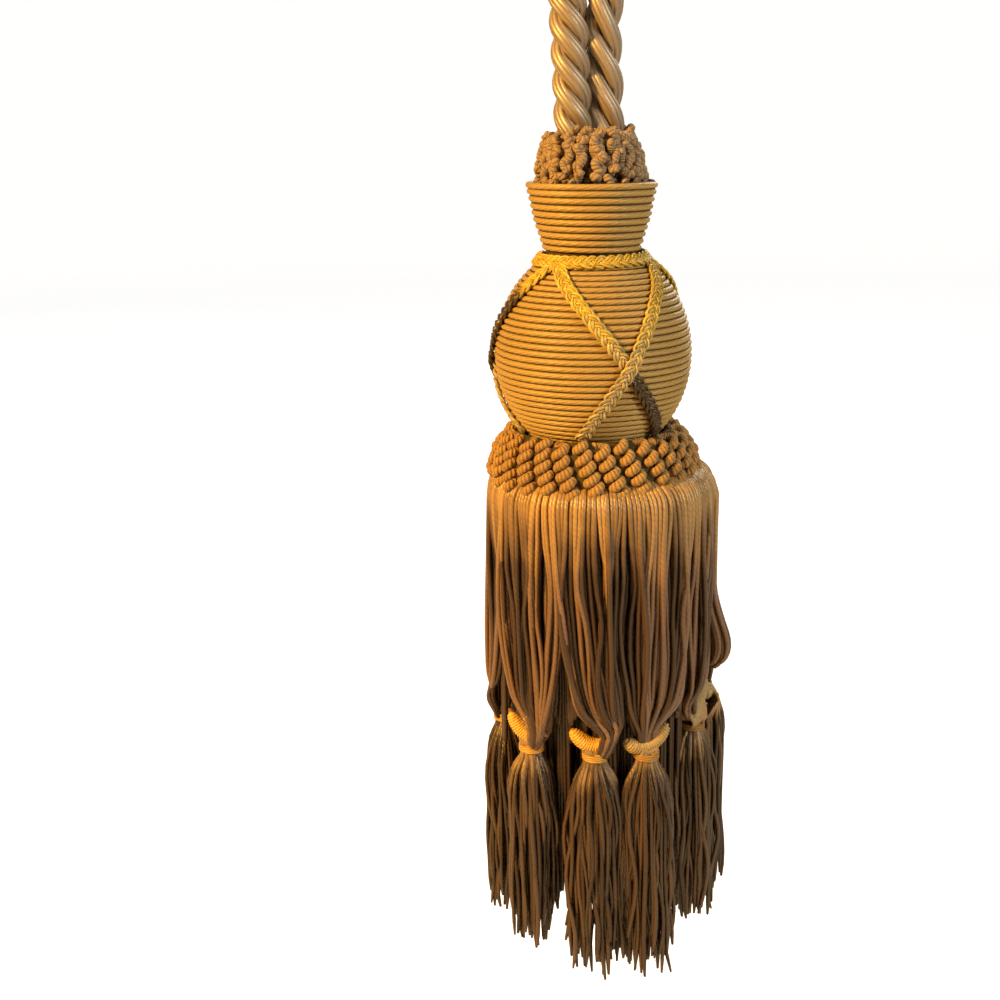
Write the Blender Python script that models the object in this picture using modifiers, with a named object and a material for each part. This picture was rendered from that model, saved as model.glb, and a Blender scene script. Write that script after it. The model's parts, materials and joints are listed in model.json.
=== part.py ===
"""A curtain tieback tassel, hanging from the loop of its rope. Metres, +Z up, its front towards -Y.

The origin is the point on the inner side of the loop's top where a hook bears, so the rest hangs
below it. Azimuths are degrees round the vertical axis: 0 at the front, growing to the right.
"""

import math
from collections import namedtuple

import bmesh
import bpy
from mathutils import Vector

GAP = 0.0003  # between pieces that touch

# Rope: one three-strand cord. Its two legs stand side by side in the crown ruff.
ROPE_DIAMETER = 0.0116
ROPE_LAY = 0.035  # length of one full turn of its strands
ROPE_SIDES = 12
ROPE_RINGS_PER_LAY = 10
ROPE_MEAN, ROPE_SWING = 0.81, 0.19  # shares of the radius that make the three lobes
ROPE_ROUTE = (  # x and z, from one leg's foot over the loop to the other's
    (-0.0060, -0.1420), (-0.0060, -0.1300), (-0.0062, -0.1180), (-0.0066, -0.1060), (-0.0071, -0.0930),
    (-0.0080, -0.0800), (-0.0107, -0.0650), (-0.0165, -0.0500), (-0.0228, -0.0350), (-0.0256, -0.0200),
    (-0.0222, -0.0070), (-0.0128, 0.0024), (0.0000, 0.0058), (0.0128, 0.0024), (0.0221, -0.0070),
    (0.0254, -0.0200), (0.0224, -0.0350), (0.0156, -0.0500), (0.0088, -0.0650), (0.0056, -0.0800),
    (0.0050, -0.0930), (0.0054, -0.1060), (0.0058, -0.1180), (0.0060, -0.1300), (0.0060, -0.1420),
)

# Heights of the seams between the pieces, from the top of the crown ruff down.
CROWN_TOP = -0.1240
CROWN_FOOT = CROWN_TOP - 0.0182
RIM_TOP = CROWN_TOP - 0.0166
RIM_EDGE = CROWN_TOP - 0.0178
NECK_TOP = CROWN_TOP - 0.0360
NECK_FOOT = CROWN_TOP - 0.0403
BALL_CENTRE = CROWN_TOP - 0.0700
BALL_FOOT = CROWN_TOP - 0.1030
RUFF_TOP = CROWN_TOP - 0.0920
RUFF_FOOT = CROWN_TOP - 0.1081
SKIRT_TOP = RUFF_FOOT - 0.0004
SKIRT_ROOT_FOOT = SKIRT_TOP - 0.0022
TIE_LEVEL = CROWN_TOP - 0.1950

# Crown ruff: a knotted collar round the legs, standing in the cup of the head.
CROWN_COLUMNS, CROWN_KNOTS = 12, 3
CROWN_RADII = (0.0140, 0.0152, 0.0164, 0.0174)  # from its top to its foot
CROWN_LEAN = -0.0010  # how far its top leans to the left
CROWN_RELIEF = 0.0013
CROWN_SLANT = 8.0  # degrees that a column of knots turns on its way down
LEG_SPACING = 0.0120
LEG_HOLE_RADIUS = ROPE_DIAMETER / 2 + 0.0007

# Head: a turned mould, a cup above a ball, wound with cord.
HEAD_STEPS = 24
DISH_RADIUS = 0.0191
DISH_FLOOR = CROWN_FOOT - GAP
RIM_WIDTH = 0.0007
RIM_RADIUS = 0.0205
CUP_RADIUS, CUP_LEVEL = 0.0185, CROWN_TOP - 0.0269  # halfway down the cup
NECK_RADIUS = 0.0155
BALL_RADIUS = 0.0313
BALL_HALF_HEIGHT = 0.0347
BALL_LEVELS = 60
WOUND_FOOT = RUFF_TOP - 0.0020
HIDDEN_LEVELS = (CROWN_TOP - 0.0970, CROWN_TOP - 0.1005, BALL_FOOT)  # under the skirt ruff
WRAP_PITCH = 0.00205
WRAP_RELIEF = 0.00045

# Flat plaited braid: a ring round the neck, and six straps that make a net over the ball.
BRAID_WIDTH = 0.0050
BRAID_THICKNESS = 0.0012
NECK_BRAID_TOP = CROWN_TOP - 0.0368
NECK_BRAID_FOOT = CROWN_TOP - 0.0417
NECK_BRAID_CLEARANCE = 0.00065
STRAP_STEPS = 12
STRAP_CLEARANCE = 0.00055  # a chord's sagitta is taken from it
STRAP_TOP, STRAP_FOOT = 50.0, -33.8  # latitudes on the ball
STRAP_HUMP = 26.0  # degrees of latitude, each way, over which a strap climbs over another
STRAP_CREST = 0.76  # share of its width that is flat on top
STRAP_LIFT = BRAID_THICKNESS + 0.0007
Strap = namedtuple("Strap", "name over azimuths")  # azimuths at even steps of latitude
STRAPS = (
    Strap("strap_front_down_right", False, (-31.8, -9.8, 8.8, 24.5, 42.5)),
    Strap("strap_front_down_left", True, (60.5, 37.0, 21.5, 7.3, -8.0)),
    Strap("strap_right_down_right", False, (86.0, 108.0, 126.6, 142.3, 160.3)),
    Strap("strap_right_down_left", True, (184.5, 161.0, 145.5, 131.3, 116.0)),
    Strap("strap_back_down_right", False, (208.0, 230.0, 248.6, 264.3, 282.3)),
    Strap("strap_back_down_left", True, (308.5, 290.5, 272.0, 252.0, 231.0)),
)

# Skirt ruff: slanted columns of knots that hide the seam between the ball and the skirt.
RUFF_COLUMNS, RUFF_KNOTS = 30, 4
RUFF_RADII = (0.0268, 0.0302, 0.0317, 0.0326, 0.0328)
RUFF_RELIEF = 0.0011
RUFF_SLANT = 10.0
RUFF_INNER = ((0.0249, RUFF_TOP), (0.0222, CROWN_TOP - 0.0962), (0.0222, RUFF_FOOT))

# Skirt: cords sewn to a ring, gathered into bunches that each carry a small tassel.
SKIRT_INNER, SKIRT_OUTER = 0.0262, 0.0330
SKIRT_SHIFT = 0.0024  # the skirt hangs this far to the right
STRANDS_PER_BUNCH = 6
STRAND_THICKNESS = 0.0021
STRAND_FILL = 0.84  # share of its sector that a strand fills
STRAND_END = 0.7  # share of its thickness that is left at its end
STRAND_UNEVENNESS = 0.0006
STRAND_CLEARANCE = 0.00105  # from its end down to the fold
GATHER_PITCH = 0.00165
GATHER_DEPTH = 0.0017
Level = namedtuple("Level", "radius drop gather")
OUTER_LEVELS = (
    Level(0.0366, 0.1104, 0.0),
    Level(0.0379, 0.1150, 0.0),
    Level(0.0381, 0.1480, 0.04),
    Level(0.0382, 0.1720, 0.30),
)
INNER_LEVELS = (
    Level(0.0315, 0.1160, 0.0),
    Level(0.0337, 0.1400, 0.04),
    Level(0.0337, 0.1690, 0.30),
)
CORE_LEVELS = (
    Level(0.0265, 0.1160, 0.0),
    Level(0.0245, 0.1380, 0.04),
    Level(0.0250, 0.1660, 0.25),
)
LOOSE_AZIMUTH, LOOSE_SPREAD, LOOSE_BULGE = 90.0, 16.0, 0.0042  # where cords stand off the skirt

# Small tassels: threads folded over the cords' ends, tied, and flaring below.
Bunch = namedtuple("Bunch", "azimuth radius length half_width slope")
BUNCHES = (
    Bunch(-48.0, 0.0334, 0.0710, 0.0087, -0.30),
    Bunch(-9.0, 0.0304, 0.0775, 0.0078, -0.10),
    Bunch(21.0, 0.0325, 0.0760, 0.0078, 0.20),
    Bunch(73.0, 0.0308, 0.0700, 0.0080, 0.30),
    Bunch(101.0, 0.0363, 0.0700, 0.0080, -0.15),
    Bunch(142.0, 0.0322, 0.0755, 0.0086, 0.10),
    Bunch(183.0, 0.0312, 0.0730, 0.0086, -0.20),
    Bunch(224.0, 0.0324, 0.0765, 0.0086, 0.25),
    Bunch(266.0, 0.0330, 0.0720, 0.0086, 0.00),
)
FOLD_CURL = 130.0  # how fast the fold rises to its ends, per metre
LOCK_COLUMNS, LOCK_ROWS = 4, 3
NECK_HALF = 0.0034
NECK_REACH = 0.0016
Ring = namedtuple("Ring", "half_width half_depth height curl")
FOLD_RINGS = (
    Ring(NECK_HALF, NECK_HALF, NECK_REACH, 0.0),
    Ring(0.0062, 0.0035, 0.0022, 0.8),
    Ring(0.0080, 0.0041, 0.0047, 1.0),
    Ring(0.0071, 0.0026, 0.0077, 1.0),
)
FOLD_TOP = FOLD_RINGS[-1].height
Flare = namedtuple("Flare", "share width depth fill")
LOCK_FLARES = (
    Flare(0.12, 0.72, 0.0050, 0.84),
    Flare(0.50, 0.95, 0.0064, 0.82),
    Flare(1.00, 1.06, 0.0068, 0.70),
)
LOCK_RAGGED = 0.12  # share of its length by which a lock may be short
BAND_STEPS = 10
BAND_INNER, BAND_OUTER, BAND_HALF_HEIGHT = 0.0039, 0.0049, 0.0013

Finish = namedtuple("Finish", "colour roughness metallic")
FINISHES = {
    "rope_yarn": Finish((0.50, 0.33, 0.13), 0.42, 0.05),
    "ruff_yarn": Finish((0.36, 0.20, 0.07), 0.72, 0.0),
    "wound_yarn": Finish((0.55, 0.32, 0.10), 0.55, 0.0),
    "braid_yarn": Finish((0.60, 0.38, 0.12), 0.38, 0.10),
    "skirt_yarn": Finish((0.30, 0.15, 0.055), 0.48, 0.0),
    "thread_yarn": Finish((0.24, 0.12, 0.045), 0.46, 0.0),
    "tie_yarn": Finish((0.48, 0.27, 0.08), 0.50, 0.0),
}


def clear_scene():
    for obj in list(bpy.data.objects):
        bpy.data.objects.remove(obj, do_unlink=True)


def finish_material(name):
    """The Principled material of that finish, made once."""
    material = bpy.data.materials.get(name)
    if material:
        return material
    finish = FINISHES[name]
    material = bpy.data.materials.new(name)
    material.use_nodes = True
    shader = material.node_tree.nodes["Principled BSDF"]
    shader.inputs["Base Color"].default_value = (*finish.colour, 1.0)
    shader.inputs["Roughness"].default_value = finish.roughness
    shader.inputs["Metallic"].default_value = finish.metallic
    return material


def add_object(name, mesh, finish):
    obj = bpy.data.objects.new(name, mesh)
    bpy.data.collections["curtain_tieback_tassel"].objects.link(obj)
    if not mesh.materials:
        mesh.materials.append(finish_material(finish))
    return obj


def add_solid(name, bm, finish):
    """An object from a closed bmesh, with its faces turned outwards."""
    bmesh.ops.recalc_face_normals(bm, faces=bm.faces)
    mesh = bpy.data.meshes.new(name)
    bm.to_mesh(mesh)
    bm.free()
    mesh.shade_smooth()
    mesh.set_sharp_from_angle(angle=math.radians(50))
    return add_object(name, mesh, finish)


def add_turned(name, profile, steps, finish, closed):
    """A profile of (radius, z) turned round the Z axis. It runs down the outer side."""
    mesh = bpy.data.meshes.new(name)
    count = len(profile)
    edges = [(i, (i + 1) % count) for i in range(count if closed else count - 1)]
    mesh.from_pydata([(radius, 0.0, z) for radius, z in profile], edges, [])
    obj = add_object(name, mesh, finish)
    screw = obj.modifiers.new("turn", "SCREW")
    screw.steps = steps
    screw.render_steps = steps
    screw.use_merge_vertices = True
    screw.merge_threshold = 0.00001
    return obj


def loft(bm, loops, closed):
    """Quads between equal loops of points, in one row for each pair. An open loft gets two caps."""
    rings = [[bm.verts.new(point) for point in loop] for loop in loops]
    following = rings[1:] + rings[:1] if closed else rings[1:]
    rows = []
    for near, far in zip(rings, following):
        count = len(near)
        row = []
        for i in range(count):
            j = (i + 1) % count
            row.append(bm.faces.new((near[i], near[j], far[j], far[i])))
        rows.append(row)
    if not closed:
        bm.faces.new(rings[0][::-1])
        bm.faces.new(rings[-1])
    return rows


def at(azimuth, radius, z, shift=0.0):
    """The point at that azimuth in degrees and that radius, shifted to the right."""
    angle = math.radians(azimuth)
    return Vector((radius * math.sin(angle) + shift, -radius * math.cos(angle), z))


def mix(first, second, share):
    return first + (second - first) * share


def from_table(values, share):
    """The value at that share of the way along a table of even steps."""
    place = share * (len(values) - 1)
    index = min(int(place), len(values) - 2)
    return mix(values[index], values[index + 1], place - index)


def unevenness(index):
    """A fixed pseudo-random number from -1 to 1 for that index."""
    return 2.0 * math.modf(abs(math.sin(12.9898 * (index + 1)) * 43758.5453))[0] - 1.0


def smooth_route(points, per_span):
    """A smooth curve through the points, by Catmull and Rom's rule."""
    ends = [2 * points[0] - points[1], *points, 2 * points[-1] - points[-2]]
    curve = []
    for a, b, c, d in zip(ends, ends[1:], ends[2:], ends[3:]):
        for step in range(per_span):
            t = step / per_span
            pull = (2 * a - 5 * b + 4 * c - d) * t * t + (3 * b - a - 3 * c + d) * t**3
            curve.append(b + (c - a) * t * 0.5 + pull * 0.5)
    curve.append(points[-1])
    return curve


def even_steps(curve, step):
    """Points along the curve, as near as fits to the given step apart."""
    lengths = [0.0]
    for a, b in zip(curve, curve[1:]):
        lengths.append(lengths[-1] + (b - a).length)
    count = round(lengths[-1] / step)
    places = []
    index = 0
    for number in range(count + 1):
        distance = lengths[-1] * number / count
        while index < len(curve) - 2 and lengths[index + 1] < distance:
            index += 1
        span = lengths[index + 1] - lengths[index]
        places.append(curve[index].lerp(curve[index + 1], (distance - lengths[index]) / span))
    return places


def make_rope():
    route = [Vector((x, 0.0, z)) for x, z in ROPE_ROUTE]
    centres = even_steps(smooth_route(route, per_span=12), ROPE_LAY / ROPE_RINGS_PER_LAY)
    across = Vector((0.0, 1.0, 0.0))
    loops = []
    for number, centre in enumerate(centres):
        before = centres[max(number - 1, 0)]
        after = centres[min(number + 1, len(centres) - 1)]
        side = across.cross((after - before).normalized())
        turn = -math.tau * number / ROPE_RINGS_PER_LAY
        loop = []
        for corner in range(ROPE_SIDES):
            angle = math.tau * corner / ROPE_SIDES
            radius = ROPE_DIAMETER / 2 * (ROPE_MEAN + ROPE_SWING * math.cos(3 * angle))
            outwards = math.cos(angle + turn) * side + math.sin(angle + turn) * across
            loop.append(centre + radius * outwards)
        loops.append(loop)
    bm = bmesh.new()
    loft(bm, loops, closed=False)
    add_solid("rope", bm, "rope_yarn")


def knotted_loops(columns, knots, radii, top, foot, relief, slant, lean):
    """Loops down a ring's outer face, raised into slanted columns of knots."""
    loops = []
    for row in range(2 * knots + 1):
        share = row / (2 * knots)
        on_knot = row % 2 == 1
        loop = []
        for corner in range(2 * columns):
            raised = -1.0 if corner % 2 == 0 else (1.0 if on_knot else 0.1)
            azimuth = 180.0 * corner / columns + slant * share
            radius = from_table(radii, share) + relief * raised
            loop.append(at(azimuth, radius, mix(top, foot, share), lean * (1 - share)))
        loops.append(loop)
    return loops


def leg_hole_radius(azimuth):
    """Distance from the axis to the wall of the slot that takes both legs."""
    angle = math.radians(azimuth)
    along, beside = abs(math.sin(angle)), abs(math.cos(angle))
    half = LEG_SPACING / 2
    flat = LEG_HOLE_RADIUS / beside if beside > 1e-6 else math.inf
    if flat * along <= half:
        return flat
    return half * along + math.sqrt(LEG_HOLE_RADIUS**2 - (half * beside) ** 2)


def make_crown_ruff():
    outer = knotted_loops(
        CROWN_COLUMNS, CROWN_KNOTS, CROWN_RADII, CROWN_TOP, CROWN_FOOT,
        CROWN_RELIEF, CROWN_SLANT, CROWN_LEAN,
    )
    inner = []
    for z, slant in ((CROWN_FOOT, CROWN_SLANT), (CROWN_TOP, 0.0)):
        azimuths = [180.0 * corner / CROWN_COLUMNS + slant for corner in range(2 * CROWN_COLUMNS)]
        inner.append([at(azimuth, leg_hole_radius(azimuth), z) for azimuth in azimuths])
    bm = bmesh.new()
    loft(bm, outer + inner, closed=True)
    add_solid("crown_ruff", bm, "ruff_yarn")


def ball_radius(z):
    return BALL_RADIUS * math.sqrt(1.0 - ((z - BALL_CENTRE) / BALL_HALF_HEIGHT) ** 2)


def wound(outline):
    """The outline with a wrap's crest at each pitch along it and a groove between two wraps."""
    places = even_steps([Vector((radius, z)) for radius, z in outline], WRAP_PITCH / 2)
    raised = []
    for number, place in enumerate(places):
        before = places[max(number - 1, 0)]
        after = places[min(number + 1, len(places) - 1)]
        along = (after - before).normalized()
        inwards = Vector((along.y, -along.x))
        groove = WRAP_RELIEF if number % 2 == 0 else 0.0
        raised.append(tuple(place + inwards * groove))
    return raised


def make_head():
    cup = wound([(RIM_RADIUS, RIM_EDGE), (CUP_RADIUS, CUP_LEVEL), (NECK_RADIUS, NECK_TOP)])
    levels = [mix(NECK_FOOT, WOUND_FOOT, level / BALL_LEVELS) for level in range(BALL_LEVELS + 1)]
    ball = wound([(ball_radius(z), z) for z in levels])
    hidden = [(ball_radius(z), z) for z in HIDDEN_LEVELS]
    dish = [(0.0, DISH_FLOOR), (DISH_RADIUS, DISH_FLOOR), (DISH_RADIUS, RIM_TOP)]
    rim = [(DISH_RADIUS + RIM_WIDTH, RIM_TOP)]
    profile = dish + rim + cup + ball + hidden + [(0.0, BALL_FOOT)]
    add_turned("wound_head", profile, HEAD_STEPS, "wound_yarn", closed=False)


def make_neck_braid():
    inner_top = NECK_RADIUS + NECK_BRAID_CLEARANCE
    inner_foot = ball_radius(NECK_BRAID_FOOT) + NECK_BRAID_CLEARANCE
    bend = NECK_FOOT + NECK_BRAID_CLEARANCE
    profile = (
        (inner_top + 0.7 * BRAID_THICKNESS, NECK_BRAID_TOP),
        (inner_top + BRAID_THICKNESS, mix(NECK_BRAID_TOP, bend, 0.35)),
        (inner_top + 1.4 * BRAID_THICKNESS, bend),
        (inner_foot + 0.9 * BRAID_THICKNESS, mix(NECK_BRAID_FOOT, bend, 0.3)),
        (inner_foot + 0.3 * BRAID_THICKNESS, NECK_BRAID_FOOT),
        (inner_foot, NECK_BRAID_FOOT),
        (inner_top, bend),
        (inner_top, NECK_BRAID_TOP),
    )
    add_turned("neck_braid", profile, HEAD_STEPS, "braid_yarn", closed=True)


def on_ball(azimuth, latitude):
    """A point of the ball's surface, and the direction that points out of it."""
    angle = math.radians(latitude)
    point = at(azimuth, BALL_RADIUS * math.cos(angle), BALL_CENTRE + BALL_HALF_HEIGHT * math.sin(angle))
    outwards = at(azimuth, math.cos(angle) / BALL_RADIUS, math.sin(angle) / BALL_HALF_HEIGHT)
    return point, outwards.normalized()


def crossing_latitude(strap):
    """Where a strap crosses its partner, the one from the next top node."""
    partner = STRAPS[STRAPS.index(strap) ^ 1]
    shares = [step / 100 for step in range(101)]
    share = min(shares, key=lambda s: abs(from_table(strap.azimuths, s) - from_table(partner.azimuths, s)))
    return mix(STRAP_TOP, STRAP_FOOT, share)


def make_strap(strap):
    crossing = crossing_latitude(strap)
    places = []
    for step in range(STRAP_STEPS + 1):
        share = step / STRAP_STEPS
        latitude = mix(STRAP_TOP, STRAP_FOOT, share)
        point, outwards = on_ball(from_table(strap.azimuths, share), latitude)
        climb = max(0.0, 1.0 - ((latitude - crossing) / STRAP_HUMP) ** 2) ** 3
        lift = STRAP_CLEARANCE + strap.over * climb * STRAP_LIFT
        places.append((point + lift * outwards, outwards))
    loops = []
    for step, (point, outwards) in enumerate(places):
        before = places[max(step - 1, 0)][0]
        after = places[min(step + 1, STRAP_STEPS)][0]
        side = outwards.cross((after - before).normalized())
        top = point + BRAID_THICKNESS * outwards
        half = side * BRAID_WIDTH / 2
        crest = half * STRAP_CREST
        loops.append([point - half, point + half, top + crest, top - crest])
    bm = bmesh.new()
    loft(bm, loops, closed=False)
    add_solid(strap.name, bm, "braid_yarn")


def make_skirt_ruff():
    outer = knotted_loops(
        RUFF_COLUMNS, RUFF_KNOTS, RUFF_RADII, RUFF_TOP, RUFF_FOOT, RUFF_RELIEF, RUFF_SLANT, 0.0
    )
    inner = []
    for radius, z in reversed(RUFF_INNER):
        slant = RUFF_SLANT * (RUFF_TOP - z) / (RUFF_TOP - RUFF_FOOT)
        azimuths = [180.0 * corner / RUFF_COLUMNS + slant for corner in range(2 * RUFF_COLUMNS)]
        inner.append([at(azimuth, radius, z) for azimuth in azimuths])
    bm = bmesh.new()
    loft(bm, outer + inner, closed=True)
    add_solid("skirt_ruff", bm, "ruff_yarn")


def bunch_sectors(number):
    """Azimuths of the edges between a bunch's strands at the ring, from midway to its neighbours."""
    azimuth = BUNCHES[number].azimuth
    before = BUNCHES[number - 1].azimuth
    after = BUNCHES[(number + 1) % len(BUNCHES)].azimuth
    start = azimuth - ((azimuth - before) % 360.0) / 2
    end = azimuth + ((after - azimuth) % 360.0) / 2
    return [mix(start, end, edge / STRANDS_PER_BUNCH) for edge in range(STRANDS_PER_BUNCH + 1)]


def fold_rise(bunch, along):
    """How much higher the fold of a small tassel lies at that distance beside its middle."""
    return FOLD_CURL * along * along + bunch.slope * along


def strand_centres(bunch, sector, place, levels, depth):
    """(azimuth, half angle, radius, z) of a strand at each level, then at its end over the fold."""
    start, end = sector
    along = (place - (STRANDS_PER_BUNCH - 1) / 2) * GATHER_PITCH
    last_radius = bunch.radius + depth
    last_azimuth = bunch.azimuth + math.degrees(along / last_radius)
    last_half = math.degrees(GATHER_PITCH / last_radius) / 2
    rows = []
    for level in levels:
        azimuth = mix((start + end) / 2, last_azimuth, level.gather)
        half = mix((end - start) / 2, last_half, level.gather)
        nearness = math.exp(-(((azimuth - LOOSE_AZIMUTH) / LOOSE_SPREAD) ** 2))
        bulge = LOOSE_BULGE * nearness * min(1.0, 4 * level.gather) * (depth > 0)
        uneven = STRAND_UNEVENNESS * unevenness(int(10 * start)) * (level.gather > 0)
        radius = mix(level.radius, last_radius, level.gather ** 2) + bulge + uneven
        rows.append((azimuth, half, radius, CROWN_TOP - level.drop))
    edge = abs(along) + GATHER_PITCH / 2
    rise = max(fold_rise(bunch, edge), fold_rise(bunch, -edge))
    rows.append((last_azimuth, last_half, last_radius, TIE_LEVEL + FOLD_TOP + rise + STRAND_CLEARANCE))
    return rows


def grow_strand(bm, face, rows, root):
    """Draws a strand out of a face of the ring, one four-sided length for each row."""
    before = Vector(root)
    for number, (azimuth, half, radius, z) in enumerate(rows):
        here = Vector((radius, z))
        after = Vector(rows[min(number + 1, len(rows) - 1)][2:])
        along = (after - before).normalized()
        thick = Vector((-along.y, along.x)) * STRAND_THICKNESS / 2
        if number == len(rows) - 1:
            thick = Vector((thick.x * STRAND_END, 0.0))
        face = bmesh.ops.extrude_discrete_faces(bm, faces=[face])["faces"][0]
        reach = half * STRAND_FILL
        corners = ((-reach, thick), (reach, thick), (reach, -thick), (-reach, -thick))
        for vert, (turn, offset) in zip(face.verts, corners):
            vert.co = at(azimuth + turn, here.x + offset.x, here.y + offset.y, SKIRT_SHIFT)
        before = here


def make_skirt():
    azimuths = []
    strands = []
    for number, bunch in enumerate(BUNCHES):
        edges = bunch_sectors(number)
        azimuths += edges[:-1]
        strands += [(bunch, sector, place) for place, sector in enumerate(zip(edges, edges[1:]))]
    sides = ((SKIRT_INNER, SKIRT_TOP), (SKIRT_OUTER, SKIRT_TOP),
             (SKIRT_OUTER, SKIRT_ROOT_FOOT), (SKIRT_INNER, SKIRT_ROOT_FOOT))
    loops = [[at(azimuth, radius, z) for azimuth in azimuths] for radius, z in sides]
    bm = bmesh.new()
    rows = loft(bm, loops, closed=True)
    outer_wall, underside = rows[1], rows[2]
    middle = (SKIRT_TOP + SKIRT_ROOT_FOOT) / 2
    for face, under, (bunch, sector, place) in zip(outer_wall, underside, strands):
        rows = strand_centres(bunch, sector, place, OUTER_LEVELS, GATHER_DEPTH)
        grow_strand(bm, face, rows, (SKIRT_OUTER, middle))
        if place % 2 == 0:
            continue
        levels = CORE_LEVELS if place == STRANDS_PER_BUNCH // 2 else INNER_LEVELS
        rows = strand_centres(bunch, sector, place, levels, -GATHER_DEPTH)
        grow_strand(bm, under, rows, ((SKIRT_INNER + SKIRT_OUTER) / 2, SKIRT_ROOT_FOOT))
    add_solid("skirt", bm, "skirt_yarn")


def make_small_tassel(number, bunch):
    """A fold of threads over the cords' ends, narrowed at the tie, with locks hanging from it."""
    middle = at(bunch.azimuth, bunch.radius, TIE_LEVEL, SKIRT_SHIFT)
    sideways = at(bunch.azimuth + 90.0, 1.0, 0.0)
    outwards = at(bunch.azimuth, 1.0, 0.0)

    def placed(plan, half_width, half_depth, height, curl):
        along = plan.x * half_width
        rise = height + curl * fold_rise(bunch, along)
        return middle + along * sideways - plan.y * half_depth * outwards + Vector((0.0, 0.0, rise))

    bm = bmesh.new()
    bmesh.ops.create_grid(bm, x_segments=LOCK_COLUMNS, y_segments=LOCK_ROWS, size=1.0)
    plan = bm.verts.layers.float_vector.new("plan")
    for vert in bm.verts:
        x, y, _ = vert.co
        vert[plan] = (x * math.sqrt(1 - y * y / 2), y * math.sqrt(1 - x * x / 2), 0.0)
        vert.co = placed(vert[plan], NECK_HALF, NECK_HALF, -NECK_REACH, 0.0)
    cells = list(bm.faces)
    top = [*bm.verts, *bm.edges, *bm.faces]
    for ring in FOLD_RINGS:
        top = bmesh.ops.extrude_face_region(bm, geom=top)["geom"]
        for vert in top:
            if isinstance(vert, bmesh.types.BMVert):
                vert.co = placed(vert[plan], *ring)
    for index, cell in enumerate(cells):
        centre = sum((vert[plan] for vert in cell.verts), Vector()) / len(cell.verts)
        short = LOCK_RAGGED * (1 + unevenness(number * len(cells) + index)) / 2
        for flare in LOCK_FLARES:
            cell = bmesh.ops.extrude_discrete_faces(bm, faces=[cell])["faces"][0]
            for vert in cell.verts:
                spot = centre + (vert[plan] - centre) * flare.fill
                drop = -NECK_REACH - (bunch.length - NECK_REACH) * flare.share * (1 - short * flare.share)
                vert.co = placed(spot, bunch.half_width * flare.width, flare.depth, drop, 0.0)
    add_solid(f"small_tassel_{number + 1}", bm, "thread_yarn")
    return middle


def make_tie_bands(middles):
    """A wound band round the neck of each small tassel. They share one mesh."""
    profile = ((BAND_OUTER, BAND_HALF_HEIGHT), (BAND_OUTER, -BAND_HALF_HEIGHT),
               (BAND_INNER, -BAND_HALF_HEIGHT), (BAND_INNER, BAND_HALF_HEIGHT))
    first = add_turned("tie_band_1", profile, BAND_STEPS, "tie_yarn", closed=True)
    first.location = middles[0]
    for number, middle in enumerate(middles[1:], start=2):
        band = first.copy()
        band.name = f"tie_band_{number}"
        band.location = middle
        bpy.data.collections["curtain_tieback_tassel"].objects.link(band)


def main():
    clear_scene()
    collection = bpy.data.collections.new("curtain_tieback_tassel")
    bpy.context.scene.collection.children.link(collection)
    make_rope()
    make_crown_ruff()
    make_head()
    make_neck_braid()
    for strap in STRAPS:
        make_strap(strap)
    make_skirt_ruff()
    make_skirt()
    make_tie_bands([make_small_tassel(number, bunch) for number, bunch in enumerate(BUNCHES)])


main()
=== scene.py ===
"""Dresses a curtain tieback tassel in twisted, wound, plaited and knotted yarn.

Run it as a script. Operators of the "Tieback Tassel" panel make every piece, in the frame's own place.
Metres, +Z up, the front towards -Y. Azimuths are degrees round the tassel, 0 in front, 90 at the right.
"""

import json
import math
from collections import namedtuple
from functools import partial

import bmesh
import bpy
import numpy as np
from mathutils import Matrix, Vector

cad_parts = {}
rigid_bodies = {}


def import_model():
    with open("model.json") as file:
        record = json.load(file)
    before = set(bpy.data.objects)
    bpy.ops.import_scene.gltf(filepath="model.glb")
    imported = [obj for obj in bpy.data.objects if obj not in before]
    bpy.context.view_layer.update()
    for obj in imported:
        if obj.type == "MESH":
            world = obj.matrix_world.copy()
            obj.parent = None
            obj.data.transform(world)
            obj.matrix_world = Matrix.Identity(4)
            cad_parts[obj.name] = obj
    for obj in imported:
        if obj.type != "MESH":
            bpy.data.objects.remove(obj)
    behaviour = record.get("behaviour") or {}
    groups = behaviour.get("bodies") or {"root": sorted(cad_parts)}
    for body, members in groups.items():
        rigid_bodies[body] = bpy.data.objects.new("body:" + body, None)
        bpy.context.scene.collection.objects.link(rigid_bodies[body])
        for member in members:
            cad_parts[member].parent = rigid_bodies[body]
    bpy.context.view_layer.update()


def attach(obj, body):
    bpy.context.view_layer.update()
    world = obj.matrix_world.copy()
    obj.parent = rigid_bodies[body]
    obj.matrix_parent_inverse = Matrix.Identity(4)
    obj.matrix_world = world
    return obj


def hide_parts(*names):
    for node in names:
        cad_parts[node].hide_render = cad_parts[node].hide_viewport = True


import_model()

bl_info = {
    "name": "Tieback Tassel",
    "version": (1, 0, 0),
    "blender": (4, 5, 0),
    "location": "View3D > Sidebar > Tassel",
    "description": "Winds, plaits, knots and hangs the yarn of a curtain tieback tassel",
    "category": "Object",
}

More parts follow.
